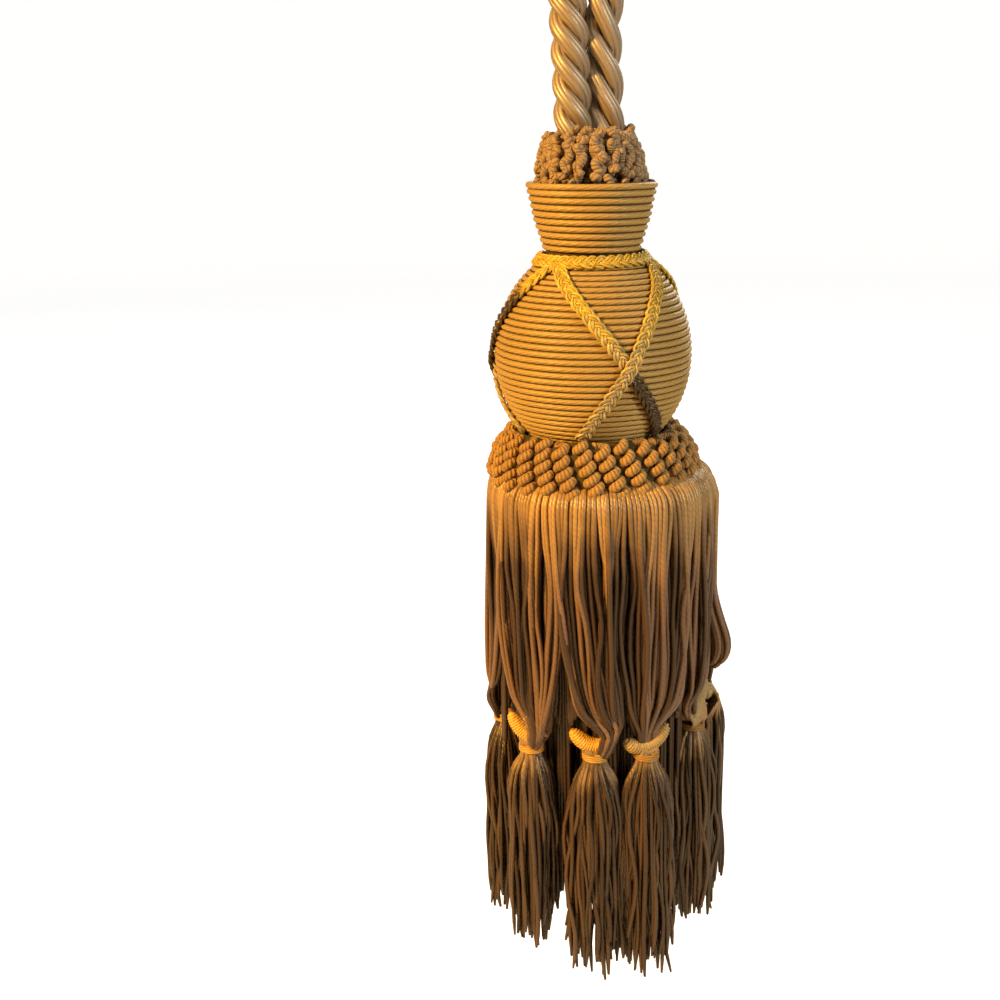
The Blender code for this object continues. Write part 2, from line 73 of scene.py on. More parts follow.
# Rope: x and z of its route, from one leg's foot over the loop to the other's.
ROPE_ROUTE = (
    (-0.006, -0.142), (-0.006, -0.13), (-0.0062, -0.118), (-0.0066, -0.106), (-0.0071, -0.093),
    (-0.008, -0.08), (-0.0107, -0.065), (-0.0165, -0.05), (-0.0228, -0.035), (-0.0256, -0.02),
    (-0.0222, -0.007), (-0.0128, 0.0024), (0.0, 0.0058), (0.0128, 0.0024), (0.0221, -0.007),
    (0.0254, -0.02), (0.0224, -0.035), (0.0156, -0.05), (0.0088, -0.065), (0.0056, -0.08),
    (0.005, -0.093), (0.0054, -0.106), (0.0058, -0.118), (0.006, -0.13), (0.006, -0.142),
)
ROPE_STEP = 0.00125
ROPE_STRAND_RADIUS, ROPE_STRAND_OFFSET = 0.00262, 0.00325
ROPE_SHADES = (0.0, 0.25, 0.5)
# The first leg is laid tighter. The lay changes over the loop, between those distances from the rope's end.
TIGHT_LAY, LAY_CHANGE = 0.0262, (0.08, 0.16)
# The legs draw together from that height down, over the next distance.
LEGS_MEET, LEGS_MEETING = -0.078, 0.020
LEGS_SHIFT, LEGS_CLOSER, LEGS_CROSSED = 0.0006, 0.0010, 0.0016

# Heights of the seams between the pieces.
CROWN_TOP = -0.1240
CROWN_FOOT = CROWN_TOP - 0.0182
RIM_TOP = CROWN_TOP - 0.0166
NECK_FOOT = CROWN_TOP - 0.0403
BALL_CENTRE = CROWN_TOP - 0.0700
BALL_FOOT = CROWN_TOP - 0.1030
RUFF_TOP = CROWN_TOP - 0.0920
RUFF_FOOT = CROWN_TOP - 0.1081
TIE_LEVEL = CROWN_TOP - 0.1950

# Crown ruff: its radii from top to foot, and rings of pile: how many, how far inside and how much lower.
CROWN_RADII = (0.0136, 0.0152, 0.0164, 0.0172)
CROWN_RINGS = ((20, -0.0002, 0.0), (15, 0.0034, -0.0003), (11, 0.0068, -0.0006))
CROWN_LEAN, CROWN_UNEVEN = -0.0010, 0.0026
PILE_BENDS, PILE_LEAN = (2.6, 4.2), (-16.0, 16.0)
PILE_SWING, PILE_OUT, PILE_THICKNESS = (0.0010, 0.0021), (0.0004, 0.0012), (0.0022, 0.0028)

# Head: (radius, z) down the outer side of the wound cord.
CUP_OUTLINE = (
    (0.0199, RIM_TOP - 0.0001), (0.0205, CROWN_TOP - 0.0180), (0.0193, CROWN_TOP - 0.0235),
    (0.0184, CROWN_TOP - 0.0280), (0.0170, CROWN_TOP - 0.0325), (0.0157, CROWN_TOP - 0.0368),
    (0.0150, CROWN_TOP - 0.0390),
)
WINDING_STEPS, WINDING_DEPTH = 120, 0.42
DISH_RADIUS = 0.0190
CUP_PITCH = 1.05
BALL_RADIUS, BALL_HALF_HEIGHT = 0.0313, 0.0347

# Flat plaits: a ring round the neck, and straps that make a net over the ball.
NECK_PLAIT_RADIUS, NECK_PLAIT_LEVEL = 0.0173, CROWN_TOP - 0.0401
# The neck ring darkens towards its right side, by up to that share of the plait's other lot: painted shade.
NECK_PLAIT_SLOPE, NECK_PAINTED_SHADE = 38.0, 0.26
STRAP_TOP, STRAP_FOOT = 50.0, -33.8
STRAP_TUCK = 0.09
STRAP_LIFT, STRAP_CROSSING, STRAP_CLIMB = 0.0012, 3.5, 7.0
# Whether a strap crosses over the other of its pair, its azimuths from top to foot, and its dark stretch:
# from and to which share of the way down, and how dark.
Strap = namedtuple("Strap", "name over azimuths stain", defaults=[(0.0, 0.0, 0.0)])
STRAPS = (
    Strap("strap_front_down_right", False, (-31.8, -9.8, 8.8, 24.5, 42.5), (0.61, 2.0, 1.0)),
    Strap("strap_front_down_left", True, (60.5, 37.0, 21.5, 7.3, -8.0), (-1.0, 0.28, 0.45)),
    Strap("strap_right_down_right", False, (86.0, 108.0, 126.6, 142.3, 160.3)),
    Strap("strap_right_down_left", True, (184.5, 161.0, 145.5, 131.3, 116.0)),
    Strap("strap_back_down_right", False, (208.0, 230.0, 248.6, 264.3, 282.3)),
    # On this strap the dark stretch is painted shadow, where it runs down into shade at the ball's left
    # side.
    Strap("strap_back_down_left", True, (308.5, 290.5, 272.0, 252.0, 231.0), (0.12, 2.0, 1.0)),
)

# Skirt ruff: its radii from top to foot, and how far its cord swings sideways and out.
RUFF_COLUMNS, RUFF_TURNS = 27, 5
RUFF_RADII = (0.0272, 0.0309, 0.0327, 0.0339, 0.0345)
RUFF_SLANT = 12.0
RUFF_CORD, RUFF_UNEVEN = 0.0027, 0.00022
RUFF_ACROSS, RUFF_OUT = 0.00165, 0.0012

# Skirt: radius, distance below the crown's top, and share of the way to the bunch, down a leg of a loop.
SKIRT_SHIFT = 0.0024
OUTER_LEVELS = (
    (0.03, 0.1062, 0.0), (0.0336, 0.108, 0.0), (0.0354, 0.1102, 0.0), (0.0364, 0.114, 0.0),
    (0.0368, 0.124, 0.0), (0.0369, 0.136, 0.0), (0.0369, 0.148, 0.02), (0.037, 0.16, 0.07),
    (0.0371, 0.17, 0.18), (0.0373, 0.178, 0.38), (0.0374, 0.1845, 0.66),
)
INNER_LEVELS = (
    (0.028, 0.107, 0.0), (0.0308, 0.116, 0.0), (0.0332, 0.136, 0.02), (0.0334, 0.156, 0.1),
    (0.033, 0.172, 0.3), (0.0322, 0.182, 0.66),
)
# Locks: how many round the skirt, degrees sideways, where they start and how they drift on the way down.
CLUMPS = ((17.0, 2.7, 0.7, 22.0), (27.0, 1.7, 2.9, -45.0), (43.0, 0.8, 4.4, 70.0))
CLUMP_RELIEF, CLUMPS_FROM = 0.0008, 0.111
# How far down the cords begin to wave, and how many degrees a cord's two legs stand apart.
WAVES_FROM, LEG_AWAY = 0.112, 1.2
# Fewer cords between those azimuths are of the dark lot: painted light on the lower cords, which curve out
# there and catch the light from above. None is gathered at the parting.
PAINTED_LIGHT_LOCKS = (25.0, 120.0)
PARTING_AZIMUTH, PARTING_HALF = 86.0, 7.0
# Cords that hang free: round the whole skirt, deep inside it, in the bulge at the right, and at both sides.
# All but those in the bulge are of the dark lot, or nearly: painted shade inside the skirt.
BACK_AZIMUTHS = (120.0, 310.0)
FREE_INSIDE, FREE_FRONT_OUTSIDE, FREE_BACK_OUTSIDE = 0.0275, 0.0325, 0.0352
DEEP_CORDS, DEEP_RADII, DEEP_DROPS = 100, (0.0140, 0.0300), (0.234, 0.262)
LOOSE_AZIMUTH, LOOSE_SPREAD, LOOSE_BULGE = 90.0, 16.0, 0.0052
LOOSE_RADII, LOOSE_DROP = (0.0372, 0.0358), 0.1752
DARK_CORDS = ((90, 116, 0.0305, 0.215), (250, 270, 0.0348, 0.204))

# Small tassels. The skirt's cords go in at tuck, over spread, and hang in front of the fold where before is
# above 0. Its size says how far the fold reaches past the middle, and 0 stands for all the way.
Bunch = namedtuple(
    "Bunch", "azimuth facing radius length half_width slope tuck spread before pale lift loose taper")
BUNCHES = (
    Bunch(-48.0, -26.0, 0.0334, 0.071, 0.0073, -0.42, 0.0036, 0.0026, 0.2, 0.0, 0.0, 0.1, 0.2),
    Bunch(-9.0, -6.0, 0.0304, 0.0775, 0.0081, -0.15, 0.0055, 0.0034, 0.5, 0.05, 0.0, 0.1, 0.05),
    Bunch(21.0, 21.0, 0.0325, 0.076, 0.0081, 0.2, 0.0, 0.0034, 0.0, 0.75, 0.0, 0.1, 0.05),
    Bunch(73.0, 50.0, 0.0308, 0.07, 0.0083, 0.65, -0.0048, 0.0018, -0.3, 1.0, 0.0022, 0.35, 0.06),
    Bunch(101.0, 92.0, 0.0363, 0.07, 0.0096, -0.15, 0.0, 0.003, 0.0, 1.0, 0.0015, 0.9, 0.1),
    Bunch(142.0, 142.0, 0.0322, 0.0755, 0.0098, 0.1, 0.003, 0.0034, 0.3, 0.4, 0.0, 0.1, 0.08),
    Bunch(183.0, 183.0, 0.0312, 0.073, 0.0104, -0.2, -0.003, 0.0034, 0.3, 0.6, 0.0, 0.1, 0.06),
    Bunch(224.0, 224.0, 0.0324, 0.0765, 0.01, 0.2, 0.0, 0.0034, 0.0, 0.3, 0.0, 0.1, 0.06),
    Bunch(266.0, 266.0, 0.033, 0.072, 0.0092, 0.0, 0.002, 0.0046, 0.3, 0.2, 0.0, 0.1, 0.08),
)
FOLD_CURL = 80.0
FOLD_REACH, FOLD_RADIUS, FOLD_HEIGHT, FOLD_PITCH = 0.0074, 0.0027, 0.0032, 0.00082
THREAD_REACH, THREAD_DEPTH = 0.0024, 0.0068
NECK_HALF = 0.0035
# How far the threads have spread, at those shares of the way down.
THREAD_SHARES = (0.0, 0.04, 0.12, 0.25, 0.4, 0.7, 1.0)
THREAD_FLARE = (0.0, 0.42, 0.78, 0.96, 1.02, 1.06, 1.02)
TIE_TURNS, TIE_RADIUS, TIE_RISE, TIE_PITCH, TIE_THREAD = 3.6, 0.0038, 0.0016, 0.00072, 0.00085

# Stage: the camera, the bowl that is floor and wall, and each light's name, place, size, power and colour.
CAMERA_PLACE, CAMERA_LENS, CAMERA_TILT, CAMERA_ROLL = (-0.0306, -0.4188, CROWN_TOP), 48.0, 74.3, -1.5
FLOOR_LEVEL, FLOOR_RADIUS, BEND_FROM, BEND_RADIUS, WALL_TOP = -0.46, 1.2, 2.6, 0.7, (3.3, 3.0)
LIGHTS_AIM = (0.0, 0.0, -0.23)
LIGHTS = (
    ("key", (-0.98, -0.58, 0.45), 0.25, 39.0, (1.0, 0.61, 0.17)),
    ("fill", (1.15, -0.80, 0.35), 0.5, 15.0, (0.98, 0.98, 0.96)),
    ("back", (0.5, 1.3, 0.5), 0.9, 12.0, (1.0, 0.94, 0.86)),
)

Strand = namedtuple("Strand", "points thickness shade")
Length = partial(bpy.props.FloatProperty, unit="LENGTH")
Colour = partial(bpy.props.FloatVectorProperty, subtype="COLOR")


class TasselSizes(bpy.types.PropertyGroup):
    """Sizes of the yarns, and how many there are of each."""

    rope_diameter: Length(name="Rope", description="Thickness of the three-strand rope", default=0.0116)
    rope_lay: Length(name="Rope lay", description="Length of one turn of the rope's strands", default=0.035)
    rope_length: Length(
        name="Rope length", description="From one end over the loop to the other", default=0.332)
    wrap_pitch: Length(
        name="Winding", description="Distance between two turns of the cord on the head", default=0.00207)
    plait_width: Length(name="Plait width", description="Width of the flat plait", default=0.0047)
    plait_pitch: Length(
        name="Plait repeat", description="Length in which a part of the plait crosses over and back",
        default=0.0087)
    cord_diameter: Length(name="Skirt cord", description="Thickness of the skirt's cords", default=0.00175)
    free_loops: bpy.props.IntProperty(
        name="Free loops", description="How many doubled cords hang free in the skirt", default=124, min=0)
    cord_loops: bpy.props.IntProperty(
        name="Skirt loops", description="How many doubled cords are gathered in bunches", default=170, min=9)
    thread_diameter: Length(
        name="Thread", description="Thickness of the small tassels' threads", default=0.00140)
    threads: bpy.props.IntProperty(
        name="Threads", description="Threads folded over in each small tassel", default=48, min=8)


class TasselColours(bpy.types.PropertyGroup):
    """Colours of the yarns on their crests."""

    rope: Colour(name="Rope", description="Colour of the rope", default=(0.245, 0.163, 0.092))
    ruff: Colour(name="Ruffs", description="Colour of the knotted cord", default=(0.42, 0.215, 0.05))
    wound: Colour(name="Winding", description="Colour of the head's cord", default=(0.4, 0.24, 0.058))
    plait: Colour(name="Plaits", description="Colour of the flat plait", default=(0.7, 0.45, 0.04))
    skirt: Colour(name="Skirt", description="Colour of the skirt's cords", default=(0.43, 0.24, 0.074))
    thread: Colour(name="Threads", description="Colour of the small tassels", default=(0.35, 0.205, 0.082))
    crown: Colour(name="Crown ruff", description="Colour of the crimped cord", default=(0.36, 0.22, 0.1))
    # Folds and ties are a brighter gold than the other yarns: partly their own colour, partly painted light
    # on them.
    fold: Colour(name="Folds", description="Colour of the wound folds", default=(0.85, 0.43, 0.055))
    tie: Colour(name="Ties", description="Colour of the small tassels' bands", default=(0.55, 0.28, 0.04))
    floor: Colour(name="Floor", description="Colour of the floor and the wall", default=(0.5, 0.495, 0.48))


def at(azimuth, radius, z, shift=0.0):
    """Points at those azimuths in degrees and those radii, shifted to the right."""
    angle = np.radians(azimuth)
    return np.stack(np.broadcast_arrays(radius * np.sin(angle) + shift, -radius * np.cos(angle), z), axis=-1)


def mix(first, second, share):
    return first + (second - first) * share


def from_table(values, share):
    """Values at those shares of the way along a table of even steps."""
    return np.interp(share, np.linspace(0.0, 1.0, len(values)), values)


def unit(vectors):
    return vectors / np.linalg.norm(vectors, axis=-1, keepdims=True)


def headings(line, closed=False):
    """The direction of a line at each of its points."""
    return unit(np.roll(line, -1, 0) - np.roll(line, 1, 0) if closed else np.gradient(line, axis=0))


def smooth(points, count):
    """That many points along a smooth curve through the points, by Catmull and Rom's rule."""
    points = np.asarray(points, float)
    knots = np.concatenate([[2 * points[0] - points[1]], points, [2 * points[-1] - points[-2]]])
    places = np.linspace(0.0, len(points) - 1.0, count)
    first = np.minimum(places.astype(int), len(points) - 2)
    t = (places - first)[:, None]
    a, b, c, d = (knots[first + offset] for offset in range(4))
    return b + (c - a) * t / 2 + (2 * a - 5 * b + 4 * c - d) * t**2 / 2 + (3 * b - a - 3 * c + d) * t**3 / 2


def distances(points):
    """How far along its line each point lies."""
    return np.concatenate([[0.0], np.cumsum(np.linalg.norm(np.diff(points, axis=0), axis=1))])


def even(points, step):
    """The line again, in even steps as near as fits to that length."""
    along = distances(points)
    places = np.linspace(0.0, along[-1], round(along[-1] / step) + 1)
    return np.stack([np.interp(places, along, points[:, axis]) for axis in range(points.shape[1])], axis=1)


def set_inputs(tree, node, values):
    """Gives inputs of a node plain values or other nodes' outputs."""
    for name, value in values.items():
        if isinstance(value, bpy.types.NodeSocket):
            tree.links.new(value, node.inputs[name])
        else:
            node.inputs[name].default_value = value


def add_node(tree, kind, inputs, **settings):
    """A new node of that kind, with those settings and inputs."""
    node = tree.nodes.new(kind)
    for name, value in settings.items():
        setattr(node, name, value)
    set_inputs(tree, node, inputs)
    return node


def add_sockets(group, way, kind, *names):
    """Inputs or outputs of a group, all of one kind."""
    for name in names:
        group.interface.new_socket(name, in_out=way, socket_type=f"NodeSocket{kind}")


def cord_section():
    """Geometry nodes that give a mesh's lines a round section, and its sides their direction in it: ring."""
    group = bpy.data.node_groups.get("Cord section")
    if group:
        return group
    group = bpy.data.node_groups.new("Cord section", "GeometryNodeTree")
    add_sockets(group, "INPUT", "Geometry", "Lines")
    add_sockets(group, "INPUT", "Int", "Sides")
    add_sockets(group, "OUTPUT", "Geometry", "Cords")
    entry = group.nodes.new("NodeGroupInput").outputs
    to_curve = add_node(group, "GeometryNodeMeshToCurve", {"Mesh": entry["Lines"]})
    thickness = add_node(group, "GeometryNodeInputNamedAttribute", {"Name": "thickness"}, data_type="FLOAT")
    circle = add_node(
        group, "GeometryNodeCurvePrimitiveCircle", {"Resolution": entry["Sides"], "Radius": 0.5})
    position = group.nodes.new("GeometryNodeInputPosition")
    store = add_node(group, "GeometryNodeStoreNamedAttribute", {
        "Geometry": circle.outputs["Curve"], "Name": "ring", "Value": position.outputs["Position"],
    }, data_type="FLOAT_VECTOR")
    to_mesh = add_node(group, "GeometryNodeCurveToMesh", {
        "Curve": to_curve.outputs["Curve"], "Profile Curve": store.outputs["Geometry"],
        "Scale": thickness.outputs["Attribute"], "Fill Caps": True,
    })
    shade = add_node(group, "GeometryNodeSetShadeSmooth", {"Geometry": to_mesh.outputs["Mesh"]})
    add_node(group, "NodeGroupOutput", {"Cords": shade.outputs["Geometry"]})
    return group


def put(name, data):
    """A new object of the scene."""
    obj = bpy.data.objects.new(name, data)
    bpy.context.scene.collection.objects.link(obj)
    return obj


def lay_cords(name, strands, sides, closed=False):
    """One mesh of round cords along the strands, with the attributes that the yarn's finish reads."""
    counts = [len(strand.points) for strand in strands]
    edges = []
    for start, count in zip(np.cumsum([0, *counts[:-1]]), counts):
        line = np.arange(start, start + count)
        edges.append(np.stack([line, np.roll(line, -1)], axis=1)[:None if closed else -1])
    lines = bpy.data.meshes.new(name)
    lines.from_pydata(np.concatenate([strand.points for strand in strands]), np.concatenate(edges), [])
    values = {
        "thickness": [np.broadcast_to(strand.thickness, count) for strand, count in zip(strands, counts)],
        "along": [distances(strand.points) for strand in strands],
        "shade": [np.broadcast_to(strand.shade, count) for strand, count in zip(strands, counts)],
    }
    for attribute, parts in values.items():
        lines.attributes.new(attribute, "FLOAT", "POINT").data.foreach_set(
            "value", np.concatenate(parts).astype(np.float32))
    obj = put(name, lines)
    section = obj.modifiers.new("section", "NODES")
    section.node_group = cord_section()
    section[cord_section().interface.items_tree["Sides"].identifier] = sides
    graph = bpy.context.evaluated_depsgraph_get()
    made = bpy.data.meshes.new_from_object(obj.evaluated_get(graph), depsgraph=graph)
    obj.modifiers.clear()
    obj.data = made
    made.name = name
    bpy.data.meshes.remove(lines)
    return obj


def turned(name, profile, steps, inwards=False):
    """A profile of (radius, z) spun round the upright axis, its faces turned outwards or inwards."""
    bm = bmesh.new()
    verts = [bm.verts.new((radius, 0.0, z)) for radius, z in profile]
    edges = [bm.edges.new(pair) for pair in zip(verts, verts[1:])]
    bmesh.ops.spin(bm, geom=[*verts, *edges], cent=(0, 0, 0), axis=(0, 0, 1), dvec=(0, 0, 0),
                   angle=math.tau, steps=steps, use_merge=True)
    bmesh.ops.remove_doubles(bm, verts=bm.verts, dist=1e-6)
    bmesh.ops.recalc_face_normals(bm, faces=bm.faces)
    if inwards:
        bmesh.ops.reverse_faces(bm, faces=bm.faces)
    mesh = bpy.data.meshes.new(name)
    bm.to_mesh(mesh)
    bm.free()
    mesh.shade_smooth()
    return put(name, mesh)


def turned_ring(name, outside, inside, radii, top, foot):
    """A closed ring whose wall lies those depths inside a table of radii."""
    share = np.linspace(0.0, 1.0, 8)
    radius, z = from_table(radii, share), mix(top, foot, share)
    wall = [*zip(radius - outside, z), *zip(radius[::-1] - inside, z[::-1])]
    return turned(name, [*wall, wall[0]], 48)


def node_math(tree, operation, *values):
    """The result of a Math node."""
    return add_node(tree, "ShaderNodeMath", dict(enumerate(values)), operation=operation).outputs[0]


def node_mix(tree, share, first, second, blend="MIX"):
    """The result of a Mix node for colours."""
    inputs = {0: share, 6: first, 7: second}
    return add_node(tree, "ShaderNodeMix", inputs, data_type="RGBA", blend_type=blend).outputs[2]


def twisted_yarn():
    """Shader group: colour and height of a cord's plies, from the attributes that lay_cords leaves."""
    group = bpy.data.node_groups.get("Twisted yarn")
    if group:
        return group
    group = bpy.data.node_groups.new("Twisted yarn", "ShaderNodeTree")
    add_sockets(group, "INPUT", "Color", "Crest", "Groove", "Other lot", "Faded")
    add_sockets(group, "INPUT", "Float", "Plies", "Pitch", "Fade from", "Fade to", "Lot above", "Fibre")
    add_sockets(group, "OUTPUT", "Color", "Colour")
    add_sockets(group, "OUTPUT", "Float", "Height")
    entry = group.nodes.new("NodeGroupInput").outputs
    ring, along, shade = (add_node(group, "ShaderNodeAttribute", {}, attribute_name=name).outputs
                          for name in ("ring", "along", "shade"))
    place = group.nodes.new("ShaderNodeTexCoord").outputs["Object"]
    fibre, patch = (
        add_node(group, "ShaderNodeTexNoise", {"Vector": place, "Scale": scale}).outputs["Fac"]
        for scale in (1800.0, 110.0))
    calc = partial(node_math, group)

    # The plies run round the cord and stand out as ridges. Their grooves take the groove shade, a darker
    # share of the crest's colour: painted shade between the plies.
    side = add_node(group, "ShaderNodeSeparateXYZ", {0: ring["Vector"]}).outputs
    around = calc("MULTIPLY", calc("MULTIPLY", calc("ARCTAN2", side["Y"], side["X"]), entry["Plies"]), 0.5)
    phase = calc("MULTIPLY_ADD", calc("DIVIDE", along["Fac"], entry["Pitch"]), math.pi, around)
    ridge = calc("ABSOLUTE", calc("COSINE", calc("MULTIPLY_ADD", shade["Fac"], 40.0, phase)))
    hue = node_mix(group, calc("POWER", ridge, 0.55), entry["Groove"], entry["Crest"])

    # The colour changes between two heights, with a ragged edge. Below it, tint and shade below multiplies
    # the colour: on the skirt and the threads this is partly painted shade. The other lot shows below it,
    # and less above.
    height = add_node(group, "ShaderNodeSeparateXYZ", {0: place}).outputs["Z"]
    ragged = calc("MULTIPLY_ADD", shade["Fac"], -0.010, calc("MULTIPLY_ADD", patch, 0.022, height))
    fade = add_node(group, "ShaderNodeMapRange", {
        "Value": calc("SUBTRACT", ragged, 0.011),
        "From Min": entry["Fade from"], "From Max": entry["Fade to"],
    }).outputs["Result"]
    lot = calc("MULTIPLY", shade["Fac"], calc("MAXIMUM", fade, entry["Lot above"]))
    hue = node_mix(group, lot, hue, entry["Other lot"])
    hue = node_mix(group, fade, hue, node_mix(group, 1.0, hue, entry["Faded"], "MULTIPLY"))

    # Fibres and patches vary how bright it is.
    spread = calc("MULTIPLY", calc("SUBTRACT", fibre, 0.5), entry["Fibre"])
    level = calc("ADD", calc("MULTIPLY_ADD", patch, 0.3, 0.85), spread)
    grey = add_node(group, "ShaderNodeCombineColor", {channel: level for channel in range(3)}).outputs[0]
    add_node(group, "NodeGroupOutput", {
        "Colour": node_mix(group, 1.0, hue, grey, "MULTIPLY"),
        "Height": calc("MULTIPLY_ADD", spread, 0.5, ridge),
    })
    return group


YARN_TINT = (1.0, 0.85, 0.60, 1.0)
# The mould and the ruffs' cores are that share of the winding's colour: the mould's own dark colour, and
# painted shade in the gaps between the cords over it.
MOULD_AND_GAP_SHADE = 0.14
# Groove shade and other are shares of the crest's colour; the groove shade is painted shade between the
# plies. Tint and shade below multiplies what lies below the fade: partly painted shade on the skirt and the
# threads, a paler tint on the plaits. Fade says from and to which height, and how much of the other lot
# shows above.
Finish = namedtuple("Finish", "plies pitch depth roughness gloss sheen fibre groove other faded fade",
                    defaults=((1, 1, 1), (0.0, -1.0, 1.0)))
FINISHES = {
    "rope": Finish(9, 0.06, 0.00024, 0.5, 2.6, 0.05, 0.35, (0.46, 0.38, 0.3), (0.8, 0.76, 0.72)),
    "crown": Finish(2, 0.0009, 0.00035, 0.8, 1.5, 0.15, 0.9, (0.42, 0.36, 0.3), (0.7, 0.72, 0.8)),
    "ruff": Finish(2, 0.0009, 0.00035, 0.75, 1.5, 0.15, 0.8, (0.42, 0.36, 0.3), (0.66, 0.6, 0.55)),
    "wound": Finish(5, 0.0032, 0.0001, 0.45, 1.5, 0.05, 0.3, (0.72, 0.66, 0.6), (0.9, 0.9, 0.9)),
    # The plait's other lot darkens some of its cords, and colours the straps' dark stretches and the neck
    # ring's right side: painted shadow on the back strap that runs down the left, painted shade on the ring.
    # The plaits turn paler below the fade.
    "plait": Finish(4, 0.006, 0.00012, 0.36, 1.6, 0.05, 0.25, (0.5, 0.42, 0.34), (0.1, 0.075, 0.06),
                    (0.74, 0.83, 3.7), (-0.176, -0.196, 1.0)),
    # The skirt is darker below the fade: partly the cords' own browner colour, partly painted shade on the
    # lower skirt, where less light falls. Fewer of its cords are of the dark lot above.
    "skirt": Finish(2, 0.0019, 0.00007, 0.36, 1.6, 0.03, 0.45, (0.76, 0.7, 0.66), (0.15, 0.12, 0.11),
                    (0.46, 0.43, 0.74), (-0.235, -0.268, 0.25)),
    # The threads are darker below the fade: partly their own colour, partly painted shade below the tie.
    "thread": Finish(2, 0.0019, 0.00007, 0.38, 1.6, 0.03, 0.45, (0.7, 0.64, 0.58), (0.14, 0.11, 0.09),
                     (0.26, 0.23, 0.3), (-0.321, -0.33, 1.0)),
    "fold": Finish(2, 0.0016, 0.00006, 0.4, 1.6, 0.05, 0.25, (0.66, 0.58, 0.5), (0.4, 0.54, 1.6)),
    "tie": Finish(2, 0.003, 0.0001, 0.4, 1.5, 0.05, 0.25, (0.6, 0.55, 0.5), (0.45, 0.42, 0.6)),
    "mould": Finish(2, 0.004, 0.00005, 0.85, 1.45, 0.0, 0.2, (0.2, 0.18, 0.16), (0.3, 0.3, 0.3)),
}


def yarn_material(name, crest, finish):
    """The material of one kind of yarn."""
    material = bpy.data.materials.new(name)
    material.use_nodes = True
    tree = material.node_tree
    crest = np.array(crest)
    fade_from, fade_to, lot_above = finish.fade
    yarn = add_node(tree, "ShaderNodeGroup", {
        "Crest": (*crest, 1.0), "Groove": (*(crest * finish.groove), 1.0),
        "Other lot": (*(crest * finish.other), 1.0), "Faded": (*finish.faded, 1.0),
        "Plies": finish.plies, "Pitch": finish.pitch, "Fibre": finish.fibre,
        "Fade from": fade_from, "Fade to": fade_to, "Lot above": lot_above,
    }, node_tree=twisted_yarn()).outputs
    bump = add_node(tree, "ShaderNodeBump", {"Distance": finish.depth, "Height": yarn["Height"]})
    set_inputs(tree, tree.nodes["Principled BSDF"], {
        "Base Color": yarn["Colour"], "Normal": bump.outputs["Normal"], "Roughness": finish.roughness,
        "IOR": finish.gloss, "Specular Tint": YARN_TINT,
        "Sheen Weight": finish.sheen, "Sheen Roughness": 0.35, "Sheen Tint": YARN_TINT,
    })
    material.diffuse_color = (*crest, 1.0)
    return material


def dress(obj, kind, slot, node):
    """Gives a piece its yarn, in a material named after its slot, puts it on its body and hides the solid
    that it stands for.
    """
    colours = bpy.context.scene.tassel_colours
    name = f"{slot}_{kind}"
    crest = getattr(colours, kind, [MOULD_AND_GAP_SHADE * channel for channel in colours.wound])
    material = bpy.data.materials.get(name) or yarn_material(name, crest, FINISHES[kind])
    obj.data.materials.clear()
    obj.data.materials.append(material)
    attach(obj, "root")
    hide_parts(node)


def rope_centreline():
    """The rope's route, whose two legs lie against each other above the crown."""
    line = even(smooth([(x, 0.0, z) for x, z in ROPE_ROUTE], 600), ROPE_STEP)
    side = np.sign(np.gradient(line[:, 2]))
    near = np.clip((LEGS_MEET - line[:, 2]) / LEGS_MEETING, 0.0, 1.0)
    line[:, 0] += near * (side * LEGS_CLOSER - LEGS_SHIFT)
    line[:, 1] -= side * near * LEGS_CROSSED
    return line


class TASSEL_OT_lay_rope(bpy.types.Operator):
    """Lay the three-strand rope that makes the hanging loop"""

    bl_idname = "tassel.lay_rope"
    bl_label = "Lay Rope"

    def execute(self, context):
        sizes = context.scene.tassel_sizes
        centre = rope_centreline()
        along = distances(centre)
        across = np.array([0.0, 1.0, 0.0])
        side = np.cross(across, headings(centre))
        strands = []
        lay = np.interp(along, LAY_CHANGE, (TIGHT_LAY, sizes.rope_lay))
        turned_by = np.cumsum(np.gradient(along) / lay)
        for part, shade in enumerate(ROPE_SHADES):
            turn = -math.tau * (turned_by + part / 3)
            outwards = np.cos(turn)[:, None] * side + np.sin(turn)[:, None] * across
            strands.append(Strand(centre + ROPE_STRAND_OFFSET * outwards, 2 * ROPE_STRAND_RADIUS, shade))
        rope = lay_cords("twisted_rope", strands, sides=20)
        dress(rope, "rope", "rope_yarn", "rope")
        return {"FINISHED"}


def knot_column(azimuth, rng):
    """A cord coiled down the skirt ruff, whose turns stand out as knots."""
    share = np.linspace(0.0, 1.0, RUFF_TURNS * 16)
    turn = math.tau * RUFF_TURNS * share + rng.uniform(0, math.tau)
    wander = RUFF_UNEVEN * np.sin(math.tau * (share * RUFF_TURNS * 0.43 + rng.uniform()))
    stray = 1 + 130 * RUFF_UNEVEN * np.sin(turn * 0.37 + azimuth)
    here = azimuth + RUFF_SLANT * share
    z = mix(RUFF_TOP - 0.0020, RUFF_FOOT - 0.0006, share)
    points = at(here, from_table(RUFF_RADII, share) - RUFF_CORD / 2, z)
    points += at(here, 1.0, 0.0) * (RUFF_OUT * (np.sin(turn) - 0.5) + wander)[:, None]
    points += at(here + 90.0, 1.0, 0.0) * (RUFF_ACROSS * np.cos(turn) * stray)[:, None]
    points[:, 2] += 0.0005 * np.cos(turn) + 0.5 * wander
    thickness = RUFF_CORD * (1.0 + 0.14 * np.sin(turn) + 0.07 * np.cos(5.3 * turn))
    thickness[[0, -1]] *= 0.5
    return Strand(points, thickness, rng.uniform(0.0, 0.5))


